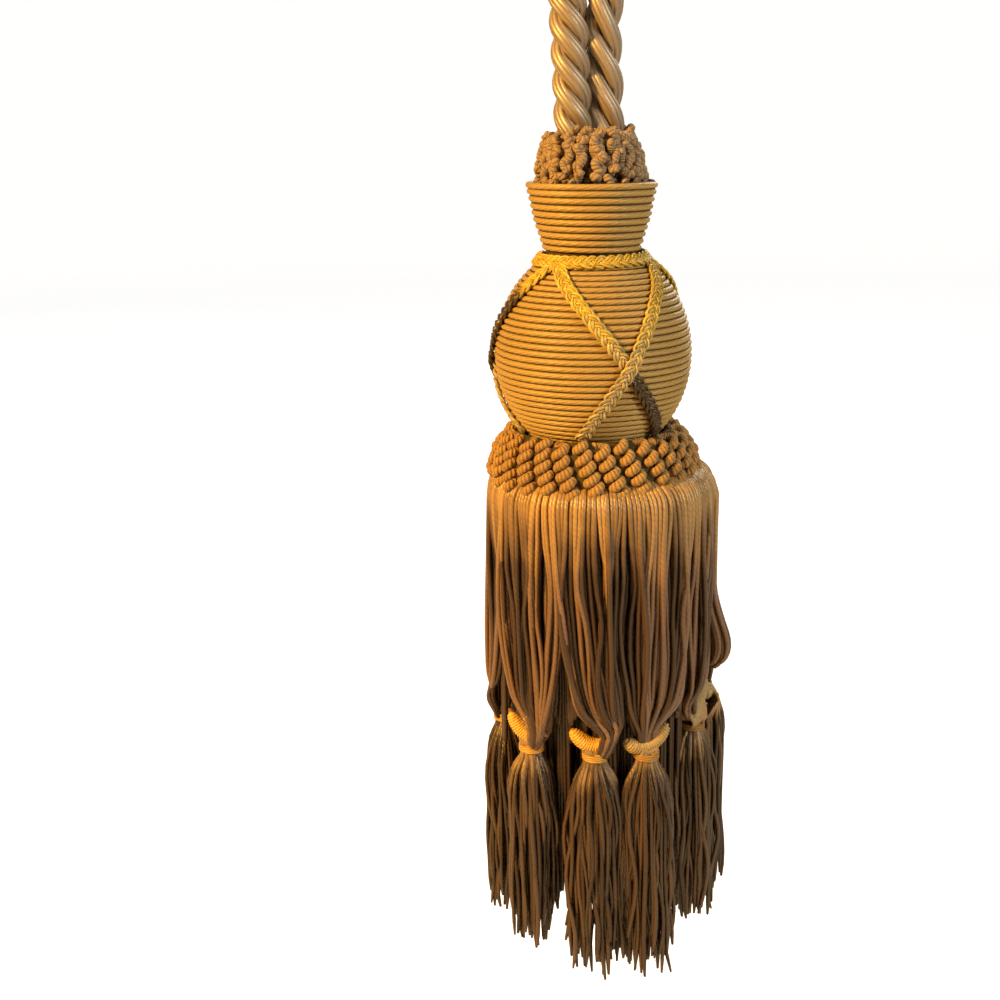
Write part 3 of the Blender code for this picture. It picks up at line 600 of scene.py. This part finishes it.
def crimped_pile(azimuth, radii, top, foot, rng):
    """A crimped pile cord that stands in the cup, with loose bends."""
    share = np.linspace(0.0, 1.0, 90)
    bends, start, lean = rng.uniform(*PILE_BENDS), rng.uniform(0, math.tau), rng.uniform(*PILE_LEAN)
    turn = math.tau * bends * share + start
    swing = rng.uniform(*PILE_SWING) * np.sin(turn) * (0.4 + 0.6 * np.sin(1.7 * turn + 2.0) ** 2)
    out = rng.uniform(*PILE_OUT) * np.sin(1.37 * turn + rng.uniform(0, math.tau)) - 0.0004
    here = azimuth + lean * (0.5 - share)
    radius = from_table(radii, share) - 0.0013 + out
    points = at(here, radius, mix(top, foot, share), CROWN_LEAN * (1 - share))
    points += swing[:, None] * at(here + 90.0, 1.0, 0.0)
    points[:, 2] += 0.0012 * np.sin(1.9 * turn) * np.sin(math.pi * share)
    thickness = rng.uniform(*PILE_THICKNESS) * (1.0 + 0.12 * np.sin(math.tau * share * 17 + start))
    thickness[0] *= 0.55
    return Strand(points, thickness, rng.uniform(0.0, 0.7))


class TASSEL_OT_knot_crown_ruff(bpy.types.Operator):
    """Stand the collar of crimped cord round the rope in the head's cup"""

    bl_idname = "tassel.knot_crown_ruff"
    bl_label = "Knot Crown Ruff"

    def execute(self, context):
        rng = np.random.default_rng(4)
        columns = []
        for ring, (count, inside, lower) in enumerate(CROWN_RINGS):
            for column in range(count):
                azimuth = 360.0 * (column + 0.5 * ring) / count + rng.uniform(-6, 6)
                top = CROWN_TOP - 0.0012 - lower - rng.uniform(0.0, CROWN_UNEVEN)
                radii = np.array(CROWN_RADII) - inside
                columns.append(crimped_pile(azimuth, radii, top, CROWN_FOOT + 0.0008, rng))
        dress(lay_cords("crown_ruff_knots", columns, sides=12), "crown", "ruff_yarn", "crown_ruff")
        core = turned_ring("crown_ruff_core", outside=0.0048, inside=0.0060, radii=CROWN_RADII,
                           top=CROWN_TOP - 0.0050, foot=CROWN_FOOT + 0.0006)
        dress(core, "mould", "ruff_yarn", "crown_ruff")
        return {"FINISHED"}


def ball_radius(z):
    return BALL_RADIUS * np.sqrt(1.0 - ((z - BALL_CENTRE) / BALL_HALF_HEIGHT) ** 2)


def wind(outline, pitch):
    """A cord wound down the outline, one turn for each pitch, its crest on the outline."""
    outline = even(np.asarray(outline), pitch / 20)
    along = distances(outline)
    slope = headings(outline)
    line = outline + np.stack([slope[:, 1], -slope[:, 0]], axis=1) * pitch / 2
    turns = along[-1] / pitch - 0.5
    angle = np.linspace(0.0, turns, int(turns * WINDING_STEPS))
    radius, z = (np.interp((angle + 0.25) * pitch, along, line[:, axis]) for axis in range(2))
    return Strand(at(360.0 * angle + 150.0, radius, z), pitch * 0.83, 0.0)


class TASSEL_OT_wind_head(bpy.types.Operator):
    """Wind cord round the cup and the ball of the turned head"""

    bl_idname = "tassel.wind_head"
    bl_label = "Wind Head"

    def execute(self, context):
        pitch = context.scene.tassel_sizes.wrap_pitch
        cup = even(smooth(CUP_OUTLINE, 80), 0.0005)
        levels = np.linspace(NECK_FOOT + 0.001, RUFF_TOP - 0.0045, 80)
        ball = np.stack([ball_radius(levels), levels], axis=1)
        winding = lay_cords("head_winding", [wind(cup, pitch * CUP_PITCH), wind(ball, pitch)], sides=10)
        dress(winding, "wound", "wound_yarn", "wound_head")
        under = pitch * WINDING_DEPTH
        hidden = [(ball_radius(z) - under, z) for z in (CROWN_TOP - 0.0985, CROWN_TOP - 0.1005)]
        profile = [(0.0, CROWN_FOOT - 0.0003), (DISH_RADIUS, CROWN_FOOT - 0.0003),
                   (DISH_RADIUS, RIM_TOP - 0.0006)]
        profile += [(r - under, z) for r, z in cup[3:-6:4]] + [(r - under, z) for r, z in ball[::3]]
        profile += hidden + [(0.0, BALL_FOOT)]
        dress(turned("head_mould", profile, 64), "mould", "wound_yarn", "wound_head")
        return {"FINISHED"}


def plait(centre, outwards, width, pitch, closed=False, shade=0.0):
    """The cords of a flat plait of three parts, each of two cords, laid along the centre line."""
    cord = width * 0.2
    along = distances(centre)
    if closed:
        along *= round(along[-1] / pitch) * pitch / (along[-1] + np.linalg.norm(centre[0] - centre[-1]))
    across = np.cross(outwards, headings(centre, closed))
    cords = []
    for part in range(3):
        turn = math.tau * (along / pitch + part / 3)
        swing = (width / 2 - cord) * np.sin(turn)
        lift = 0.42 * cord * np.sin(2 * turn)
        line = centre + swing[:, None] * across + lift[:, None] * outwards
        beside = unit(np.cross(headings(line, closed), outwards))
        for which in (-1, 1):
            lot_share = np.maximum(shade, (part + which) % 3 / 6)
            cords.append(Strand(line + which * 0.48 * cord * beside, cord, lot_share))
    return cords


def on_ball(azimuth, latitude):
    """Points of the ball's surface, and the directions that point out of it."""
    angle = np.radians(latitude)
    point = at(azimuth, BALL_RADIUS * np.cos(angle), BALL_CENTRE + BALL_HALF_HEIGHT * np.sin(angle))
    return point, unit(at(azimuth, np.cos(angle) / BALL_RADIUS, np.sin(angle) / BALL_HALF_HEIGHT))


def strap_azimuths(strap, share):
    """Azimuths of a strap at those shares of the way from its top to its foot."""
    line = smooth([(index / 4, azimuth) for index, azimuth in enumerate(strap.azimuths)], 200)
    start, end = (np.polyfit(*line[part].T, 1) for part in (slice(0, 30), slice(-30, None)))
    inside = np.interp(share, line[:, 0], line[:, 1])
    return np.where(share < 0, np.polyval(start, share), np.where(share > 1, np.polyval(end, share), inside))


def strap_line(strap):
    """Shares of the way down a strap, its centre line and the directions that point out of the ball."""
    share = np.linspace(-STRAP_TUCK, 1.0 + STRAP_TUCK, 130)
    azimuth = strap_azimuths(strap, share)
    partner = strap_azimuths(STRAPS[STRAPS.index(strap) ^ 1], share)
    latitude = mix(STRAP_TOP, STRAP_FOOT, share)
    crossing = latitude[np.argmin(np.abs(azimuth - partner))]
    climb = np.clip((STRAP_CROSSING + STRAP_CLIMB - np.abs(latitude - crossing)) / STRAP_CLIMB, 0.0, 1.0)
    climb = climb * climb * (3 - 2 * climb)
    point, outwards = on_ball(azimuth, latitude)
    lift = 0.0005 - 0.0003 * climb + strap.over * climb * STRAP_LIFT
    return share, point + lift[:, None] * outwards, outwards


class TASSEL_OT_plait_net(bpy.types.Operator):
    """Plait the ring round the neck and the six straps over the ball"""

    bl_idname = "tassel.plait_net"
    bl_label = "Plait Net"

    def execute(self, context):
        sizes = context.scene.tassel_sizes
        azimuth = np.linspace(0.0, 360.0, 210, endpoint=False)
        slope = math.radians(NECK_PLAIT_SLOPE)
        ring = at(azimuth, NECK_PLAIT_RADIUS, NECK_PLAIT_LEVEL)
        outwards = at(azimuth, math.cos(slope), math.sin(slope))
        # Painted shade: darker towards the ring's right side.
        painted_shade = NECK_PAINTED_SHADE * np.clip(2.5 * np.sin(np.radians(azimuth + 22.0)), 0.0, 1.0)
        cords = plait(ring, outwards, sizes.plait_width, sizes.plait_pitch, closed=True, shade=painted_shade)
        neck = lay_cords("neck_plait", cords, sides=8, closed=True)
        dress(neck, "plait", "braid_yarn", "neck_braid")
        for strap in STRAPS:
            share, centre, outwards = strap_line(strap)
            # Painted shadow on the back strap that runs down the left; on the front straps only a darker
            # stretch.
            first, last, depth = strap.stain
            stain = depth * np.clip(np.minimum(share - first, last - share) / 0.06, 0.0, 1.0)
            cords = plait(centre, outwards, sizes.plait_width, sizes.plait_pitch, shade=stain)
            dress(lay_cords(f"{strap.name}_plait", cords, sides=8), "plait", "braid_yarn", strap.name)
        return {"FINISHED"}


class TASSEL_OT_knot_skirt_ruff(bpy.types.Operator):
    """Knot the ring of cord between the ball and the skirt"""

    bl_idname = "tassel.knot_skirt_ruff"
    bl_label = "Knot Skirt Ruff"

    def execute(self, context):
        rng = np.random.default_rng(11)
        columns = []
        for column in range(RUFF_COLUMNS):
            azimuth = 360.0 * column / RUFF_COLUMNS + rng.uniform(-0.8, 0.8)
            columns.append(knot_column(azimuth, rng))
        dress(lay_cords("skirt_ruff_knots", columns, sides=12), "ruff", "ruff_yarn", "skirt_ruff")
        core = turned_ring("skirt_ruff_core", outside=0.0026, inside=0.0040, radii=RUFF_RADII,
                           top=RUFF_TOP - 0.0020, foot=RUFF_FOOT + 0.0006)
        dress(core, "mould", "ruff_yarn", "skirt_ruff")
        return {"FINISHED"}


def fold_rise(bunch, along):
    """How much higher the fold of a small tassel lies at those distances beside its middle."""
    return bunch.lift + FOLD_CURL * along * along + bunch.slope * along


def in_bunch(bunch, beside, out, height):
    """Points given from the middle of a small tassel's tie: to the right, outwards and up."""
    middle = at(bunch.azimuth, bunch.radius, TIE_LEVEL, SKIRT_SHIFT)
    beside, out, height = (np.asarray(value, float)[..., None] for value in (beside, out, height))
    return (middle + beside * at(bunch.facing + 90.0, 1.0, 0.0) + out * at(bunch.facing, 1.0, 0.0)
            + height * np.array([0.0, 0.0, 1.0]))


def parted(azimuth, drop):
    """How far a cord has moved into its lock at that distance down: degrees sideways, and outwards."""
    free = min(1.0, max(0.0, drop - CLUMPS_FROM) * 30)
    phases = [(size, math.radians(azimuth) * often + start + drift * drop)
              for often, size, start, drift in CLUMPS]
    return (free * sum(size * math.sin(phase) for size, phase in phases),
            -free * CLUMP_RELIEF * sum(math.cos(phase) for size, phase in phases[:2]))


def lot(azimuth, rng):
    """How far a skirt cord is of the dark lot: locks of one lot, with strays."""
    angle = math.radians(azimuth)
    # Fewer dark cords between those azimuths: painted light.
    least = 0.1 if PAINTED_LIGHT_LOCKS[0] < azimuth < PAINTED_LIGHT_LOCKS[1] else -0.35
    dark = math.sin(31 * angle + 1.0) + math.sin(13 * angle) + rng.normal(0.0, 0.8) > least
    return 0.78 * dark + 0.22 * rng.uniform()


def leg(bunch, azimuth, end, levels, layer, rng):
    """The points of one leg of a skirt loop, from the ruff down to its bunch."""
    end_radius = math.hypot(end[0], end[1])
    end_azimuth = azimuth + (math.degrees(math.atan2(end[0], -end[1])) - azimuth + 180.0) % 360.0 - 180.0
    wave, phase, loose = 2.6 * rng.uniform() ** 2, rng.uniform(0, math.tau), rng.uniform(-0.0009, 0.0006)
    points = []
    for full, drop, gather in levels:
        if CROWN_TOP - drop < end[2] + 0.0020:
            break
        free = min(1.0, max(0.0, drop - WAVES_FROM) * 40) * (1 - gather)
        sideways, proud = parted(azimuth, drop)
        here = azimuth + sideways * (1 - gather) ** 2
        gathered = gather ** (0.7 if bunch.before else 1.0)
        here = mix(here + wave * free * math.sin(drop * 150 + phase), end_azimuth, gathered)
        side = math.exp(-(((here - LOOSE_AZIMUTH + 180.0) % 360.0 - 180.0) / LOOSE_SPREAD) ** 2)
        bulge = 0.3 * LOOSE_BULGE * side * min(1.0, 6 * gather) * (layer == 0)
        radius = mix(full, end_radius, gather ** (2 if bunch.before > 0 else 1)) + bulge
        radius += free * (loose - 0.0007 * layer + proud)
        points.append(at(here, radius, CROWN_TOP - drop, SKIRT_SHIFT * min(1.0, full / 0.036)))
    return points


def skirt_loop(bunch, azimuth, rank, layer, rng):
    """A doubled cord: down in front of the fold or into it, round through the tie, and up again behind."""
    depth = (1 - 0.4 * abs(rank)) * (0.0009 * layer)
    beside = bunch.tuck + bunch.spread * rank
    rise = float(fold_rise(bunch, beside))
    if bunch.before > 0:
        front, behind = 0.0036 + depth, -0.0036
        knot = ((1.0, front, 0.0088 + rise), (0.9, front, 0.0058 + rise),
                (0.72, 0.74 * front, 0.0032 + 0.5 * rise), (0.50, 0.0025, 0.0010), (0.40, 0.0, 0.0002),
                (0.45, -0.0022, 0.0012), (0.80, -0.0036, 0.0040 + rise))
    else:
        front, behind = 0.0016 - depth, -0.0018
        knot = ((1.0, front, 0.0088 + rise), (0.9, 0.0010, 0.0052 + rise), (0.5, 0.0, 0.0030),
                (0.9, -0.0010, 0.0052 + rise))
    shift = np.array([SKIRT_SHIFT, 0.0, 0.0])
    top, back = (in_bunch(bunch, beside, out, 0.0105 + rise) - shift for out in (front, behind))
    return smooth([
        *leg(bunch, azimuth, top, OUTER_LEVELS, layer, rng),
        *(in_bunch(bunch, beside * share, out, height) for share, out, height in knot),
        *leg(bunch, azimuth + LEG_AWAY, back, INNER_LEVELS, 0, rng)[::-1],
    ], 50)


def free_loop(azimuth, radius, drop, rng, count, bulge=0.0):
    """A doubled cord that hangs free of the bunches, turned up at that distance below the crown."""
    apart = rng.uniform(0.8, 2.0)
    lean = rng.uniform(-3.0, 3.0)
    shares = np.array([0.0, 0.03, 0.12, 0.30, 0.50, 0.62, 0.72, 0.80, 0.87, 0.93, 0.98])
    belly = np.clip((shares - 0.60) / 0.33, 0.0, 1.0)
    rounding = 1.0 - 0.35 * np.clip((shares - 0.88) / 0.10, 0, 1) ** 2
    belly = bulge * belly * belly * (3 - 2 * belly) * rounding
    close = 1.0 - 0.5 * np.clip((shares - 0.90) / 0.08, 0, 1)
    tuck = 0.0070 * np.clip(1.0 - shares / 0.06, 0.0, 1.0)
    legs = []
    for side, full in ((-1, 1.0), (1, 0.6)):
        here = azimuth + lean * shares + side * apart * close
        height = CROWN_TOP - mix(0.1068, drop, shares)
        legs.append(at(here, radius - tuck + belly * full, height, SKIRT_SHIFT))
    bottom = at(azimuth + lean, radius + 0.30 * bulge, CROWN_TOP - drop, SKIRT_SHIFT)
    return smooth([*legs[0], bottom, *legs[1][::-1]], count)


class TASSEL_OT_hang_skirt(bpy.types.Operator):
    """Hang the skirt's cords from the ruff and gather them into bunches"""

    bl_idname = "tassel.hang_skirt"
    bl_label = "Hang Skirt"

    def execute(self, context):
        sizes = context.scene.tassel_sizes
        rng = np.random.default_rng(21)
        thick = sizes.cord_diameter
        loops = []
        for number, bunch in enumerate(BUNCHES):
            before = (bunch.azimuth - BUNCHES[number - 1].azimuth) % 360.0 / 2
            after = (BUNCHES[(number + 1) % len(BUNCHES)].azimuth - bunch.azimuth) % 360.0 / 2
            count = round(sizes.cord_loops * (before + after) / 360.0)
            for index in range(count):
                share = (index + 0.5) / count
                azimuth = mix(bunch.azimuth - before, bunch.azimuth + after, share) + rng.uniform(-0.6, 0.6)
                if abs(azimuth - PARTING_AZIMUTH) < PARTING_HALF:
                    continue
                points = skirt_loop(bunch, azimuth, 2 * share - 1, index % 3, rng)
                loops.append(Strand(points, thick * rng.uniform(0.88, 1.12), lot(azimuth, rng)))
        # The free loops, the deep cords and the dark cords at the sides take the dark lot, or nearly:
        # painted shade inside the skirt.
        for index in range(sizes.free_loops):
            azimuth = 360.0 * (index + rng.uniform(-0.4, 0.4)) / sizes.free_loops
            if BACK_AZIMUTHS[0] < azimuth < BACK_AZIMUTHS[1]:
                radius = rng.uniform(FREE_INSIDE, FREE_BACK_OUTSIDE)
                drop = rng.uniform(0.186, 0.200)
            else:
                radius = rng.uniform(FREE_INSIDE, FREE_FRONT_OUTSIDE)
                drop = rng.uniform(0.180, 0.197) - 1.6 * (radius - FREE_INSIDE)
            loops.append(Strand(free_loop(azimuth, radius, drop, rng, 26), thick, rng.uniform(0.8, 1.0)))
        for index in range(DEEP_CORDS):
            azimuth = 360.0 / DEEP_CORDS * (index + rng.uniform(-0.4, 0.4))
            points = free_loop(azimuth, rng.uniform(*DEEP_RADII), rng.uniform(*DEEP_DROPS), rng, 18)
            loops.append(Strand(points, thick, 1.0))
        for layer, radius in enumerate(LOOSE_RADII):
            for azimuth in np.linspace(LOOSE_AZIMUTH - 17.0, LOOSE_AZIMUTH + 14.0, 15):
                azimuth += rng.uniform(-1.5, 1.5)
                drop = LOOSE_DROP - 0.0012 * layer - rng.uniform(0.0, 0.0035)
                bulge = (1.0, 0.8)[layer] * rng.uniform(0.75, 1.05) * LOOSE_BULGE
                points = free_loop(azimuth, radius - rng.uniform(0.0, 0.0012), drop, rng, 42, bulge)
                loops.append(Strand(points, thick, lot(azimuth, rng)))
        for first, last, radius, drop in DARK_CORDS:
            for azimuth in range(first, last, 2):
                points = free_loop(azimuth, radius + rng.uniform(0.0, 0.0012), drop, rng, 18)
                loops.append(Strand(points, thick, 1.0))
        dress(lay_cords("skirt_cords", loops, sides=6), "skirt", "skirt_yarn", "skirt")
        return {"FINISHED"}


def thread_end(bunch, front, spread, rng):
    """Points of one half of a thread below the tie, from the neck down."""
    place = np.clip(spread + rng.uniform(-0.16, 0.16), -1.0, 1.0)
    length = bunch.length * (1.0 - bunch.taper * place * place - 0.16 * rng.uniform() ** 1.8)
    length *= 1.0 - 0.035 * math.sin(place * 7.0 + bunch.azimuth)
    deep = front * math.sqrt(1.0 - place * place) * rng.uniform(0.2, 1.0)
    wave, phase = 0.0002 + 0.0016 * rng.uniform() ** 2, rng.uniform(0, math.tau)
    lock = 0.0013 * math.sin(place * 9.0 + 2.0 * front + bunch.azimuth)
    shares = np.array([0.0, 0.04, 0.12, 0.25, 0.40, 0.55, 0.70, 0.85, 1.0])
    flare = mix(np.interp(shares, THREAD_SHARES, THREAD_FLARE), 1.0, bunch.loose)
    neck = mix(NECK_HALF, bunch.half_width, max(0.0, bunch.loose - 0.2))
    beside = mix(place * neck, place * bunch.half_width * flare, np.minimum(1.0, flare * 2))
    out = mix(deep * neck, deep * THREAD_DEPTH * flare, np.minimum(1.0, flare * 2))
    drift = np.minimum(1.0, shares * 4)
    beside = beside + drift * (wave * np.sin(shares * 9.0 + phase) + lock * shares)
    out = out + drift * wave * np.cos(shares * 7.0 + phase)
    return in_bunch(bunch, beside, out, -0.0010 - (length - 0.0010) * shares)


def folded_thread(bunch, share, deep, rng):
    """A thread folded over inside the wrapped fold: both its halves hang below the tie."""
    beside = THREAD_REACH * (1.0 + 2.0 * bunch.loose) * share
    over = 0.0016 - 0.0004 * deep
    height = FOLD_HEIGHT + fold_rise(bunch, beside) + np.array([0.0, over, 0.0])
    fold = in_bunch(bunch, beside, (over, 0.0, -over), height)
    start, end = (in_bunch(bunch, beside, side * 0.0022 * (1.0 + bunch.loose), 0.0010 + 0.0040 * bunch.loose)
                  for side in (1, -1))
    front, back = (thread_end(bunch, side, share, rng) for side in (1, -1))
    return smooth([*front[::-1], start, *fold, end, *back], 48)


def wrapped_fold(bunch):
    """The fold of a small tassel: its filling, and the thread wound round it from one end to the other."""
    share = np.linspace(-1.0, abs(bunch.before) or 1.0, 400)
    beside = FOLD_REACH * share * (-1 if bunch.tuck < 0 else 1)
    axis = np.stack([beside, FOLD_HEIGHT + fold_rise(bunch, beside)], axis=1)
    turn = math.tau * distances(axis) / FOLD_PITCH
    radius = (FOLD_RADIUS - FOLD_PITCH / 2) * np.sqrt(np.clip(1.0 - np.abs(share) ** 5, 0.02, 1.0))
    tangent = headings(axis)
    up = radius * np.sin(turn)
    height = axis[:, 1] + up * tangent[:, 0]
    winding = in_bunch(bunch, beside - up * tangent[:, 1], radius * np.cos(turn), height)
    filling = in_bunch(bunch, beside, 0.0 * beside, axis[:, 1])[::16]
    return [Strand(even(winding, 0.0011), FOLD_PITCH * 1.12, bunch.pale),
            Strand(filling, 2 * radius[::16] + FOLD_PITCH / 2, bunch.pale)]


def tie_ring(bunch):
    """The turns of thread that tie the neck of a small tassel."""
    turns = np.linspace(0.0, TIE_TURNS, 3 * 32)
    angle = np.radians(360.0 * turns)
    height = TIE_RISE - TIE_PITCH * turns
    return Strand(in_bunch(bunch, TIE_RADIUS * np.sin(angle), TIE_RADIUS * np.cos(angle), height),
                  TIE_THREAD, bunch.pale)


class TASSEL_OT_tie_small_tassels(bpy.types.Operator):
    """Fold the threads of the small tassels over the skirt's bunches and tie them"""

    bl_idname = "tassel.tie_small_tassels"
    bl_label = "Tie Small Tassels"

    def execute(self, context):
        sizes = context.scene.tassel_sizes
        for number, bunch in enumerate(BUNCHES, start=1):
            rng = np.random.default_rng(100 + number)
            threads = []
            for index in range(sizes.threads):
                share = 2 * (index // 3 + 0.5) / (sizes.threads // 3) - 1
                points = folded_thread(bunch, share, index % 3, rng)
                below = np.clip((TIE_LEVEL + 0.002 - points[:, 2]) / 0.006, 0.0, 1.0)
                thickness = sizes.thread_diameter * mix(0.78, rng.uniform(0.95, 1.25), below)
                thickness[[0, -1]] *= 0.55
                threads.append(Strand(points, thickness, rng.uniform() ** 1.1 * below))
            name = f"small_tassel_{number}"
            dress(lay_cords(f"{name}_threads", threads, sides=5), "thread", "thread_yarn", name)
            dress(lay_cords(f"{name}_fold", wrapped_fold(bunch), sides=6), "fold", "thread_yarn", name)
            band = lay_cords(f"tie_band_{number}_thread", [tie_ring(bunch)], sides=8)
            dress(band, "tie", "tie_yarn", f"tie_band_{number}")
        return {"FINISHED"}


def floor_material(colours):
    """A pale, slightly uneven surface that also shines a little, for the camera alone."""
    material = bpy.data.materials.new("pale_floor")
    material.use_nodes = True
    tree = material.node_tree
    place = tree.nodes.new("ShaderNodeTexCoord").outputs["Object"]
    noise = add_node(tree, "ShaderNodeTexNoise", {"Vector": place, "Scale": 3.0}).outputs["Fac"]
    seen = tree.nodes.new("ShaderNodeLightPath").outputs["Is Camera Ray"]
    set_inputs(tree, tree.nodes["Principled BSDF"], {
        "Base Color": node_mix(tree, noise, (*colours, 1.0), (*(0.985 * part for part in colours), 1.0)),
        "Roughness": 0.9, "Emission Color": (0.94, 0.97, 1.0, 1.0),
        "Emission Strength": node_math(tree, "MULTIPLY", seen, 0.85),
    })
    return material


def soft_light(name, place, size, power, tint):
    """A round area light that is aimed at the tassel."""
    light = bpy.data.lights.new(name, "AREA")
    light.shape = "DISK"
    light.size = size
    light.energy = power
    light.color = tint
    obj = put(name, light)
    obj.location = place
    obj.rotation_euler = (Vector(LIGHTS_AIM) - Vector(place)).to_track_quat("-Z", "Y").to_euler()


class TASSEL_OT_set_stage(bpy.types.Operator):
    """Set up the camera, the soft lights and the plain floor"""

    bl_idname = "tassel.set_stage"
    bl_label = "Set Stage"

    def execute(self, context):
        camera = put("Camera", bpy.data.cameras.new("Camera"))
        context.scene.camera = camera
        camera.data.lens = CAMERA_LENS
        camera.data.clip_start = 0.01
        tilt = Matrix.Rotation(math.radians(CAMERA_TILT), 4, "X")
        roll = Matrix.Rotation(math.radians(CAMERA_ROLL), 4, "Z")
        camera.matrix_world = Matrix.Translation(CAMERA_PLACE) @ tilt @ roll
        angle = np.radians(range(0, 91, 10))
        bend = zip(BEND_FROM + BEND_RADIUS * np.sin(angle),
                   FLOOR_LEVEL + BEND_RADIUS - BEND_RADIUS * np.cos(angle))
        profile = [(0.0, FLOOR_LEVEL), (FLOOR_RADIUS, FLOOR_LEVEL), *bend, WALL_TOP]
        bowl = turned("floor", profile, 96, inwards=True)
        bowl.data.materials.append(floor_material(context.scene.tassel_colours.floor[:]))
        for light in LIGHTS:
            soft_light(*light)
        world = bpy.data.worlds.new("World")
        world.use_nodes = True
        background = world.node_tree.nodes["Background"]
        set_inputs(world.node_tree, background, {"Color": (1.0, 0.985, 0.96, 1.0), "Strength": 0.36})
        context.scene.world = world
        context.scene.view_settings.view_transform = "Standard"
        return {"FINISHED"}


OPERATORS = (
    TASSEL_OT_set_stage,
    TASSEL_OT_lay_rope,
    TASSEL_OT_knot_crown_ruff,
    TASSEL_OT_wind_head,
    TASSEL_OT_plait_net,
    TASSEL_OT_knot_skirt_ruff,
    TASSEL_OT_hang_skirt,
    TASSEL_OT_tie_small_tassels,
)


class TASSEL_PT_sidebar(bpy.types.Panel):
    """Lists the tassel's pieces in the order in which they are made"""

    bl_idname = "TASSEL_PT_sidebar"
    bl_label = "Tieback Tassel"
    bl_space_type = "VIEW_3D"
    bl_region_type = "UI"
    bl_category = "Tassel"

    def draw(self, context):
        for settings in (context.scene.tassel_sizes, context.scene.tassel_colours):
            box = self.layout.box()
            for name in type(settings).__annotations__:
                box.prop(settings, name)
        for operator in OPERATORS:
            self.layout.operator(operator.bl_idname)


CLASSES = (TasselSizes, TasselColours, *OPERATORS, TASSEL_PT_sidebar)


def register():
    for cls in CLASSES:
        bpy.utils.register_class(cls)
    bpy.types.Scene.tassel_sizes = bpy.props.PointerProperty(type=TasselSizes)
    bpy.types.Scene.tassel_colours = bpy.props.PointerProperty(type=TasselColours)


def unregister():
    del bpy.types.Scene.tassel_colours
    del bpy.types.Scene.tassel_sizes
    for cls in reversed(CLASSES):
        bpy.utils.unregister_class(cls)


def main():
    for obj in list(bpy.data.objects):
        if obj.name in ("Cube", "Light", "Camera"):
            bpy.data.objects.remove(obj)
    register()
    bpy.ops.tassel.set_stage()
    bpy.ops.tassel.lay_rope()
    bpy.ops.tassel.knot_crown_ruff()
    bpy.ops.tassel.wind_head()
    bpy.ops.tassel.plait_net()
    bpy.ops.tassel.knot_skirt_ruff()
    bpy.ops.tassel.hang_skirt()
    bpy.ops.tassel.tie_small_tassels()


if __name__ == "__main__":
    main()
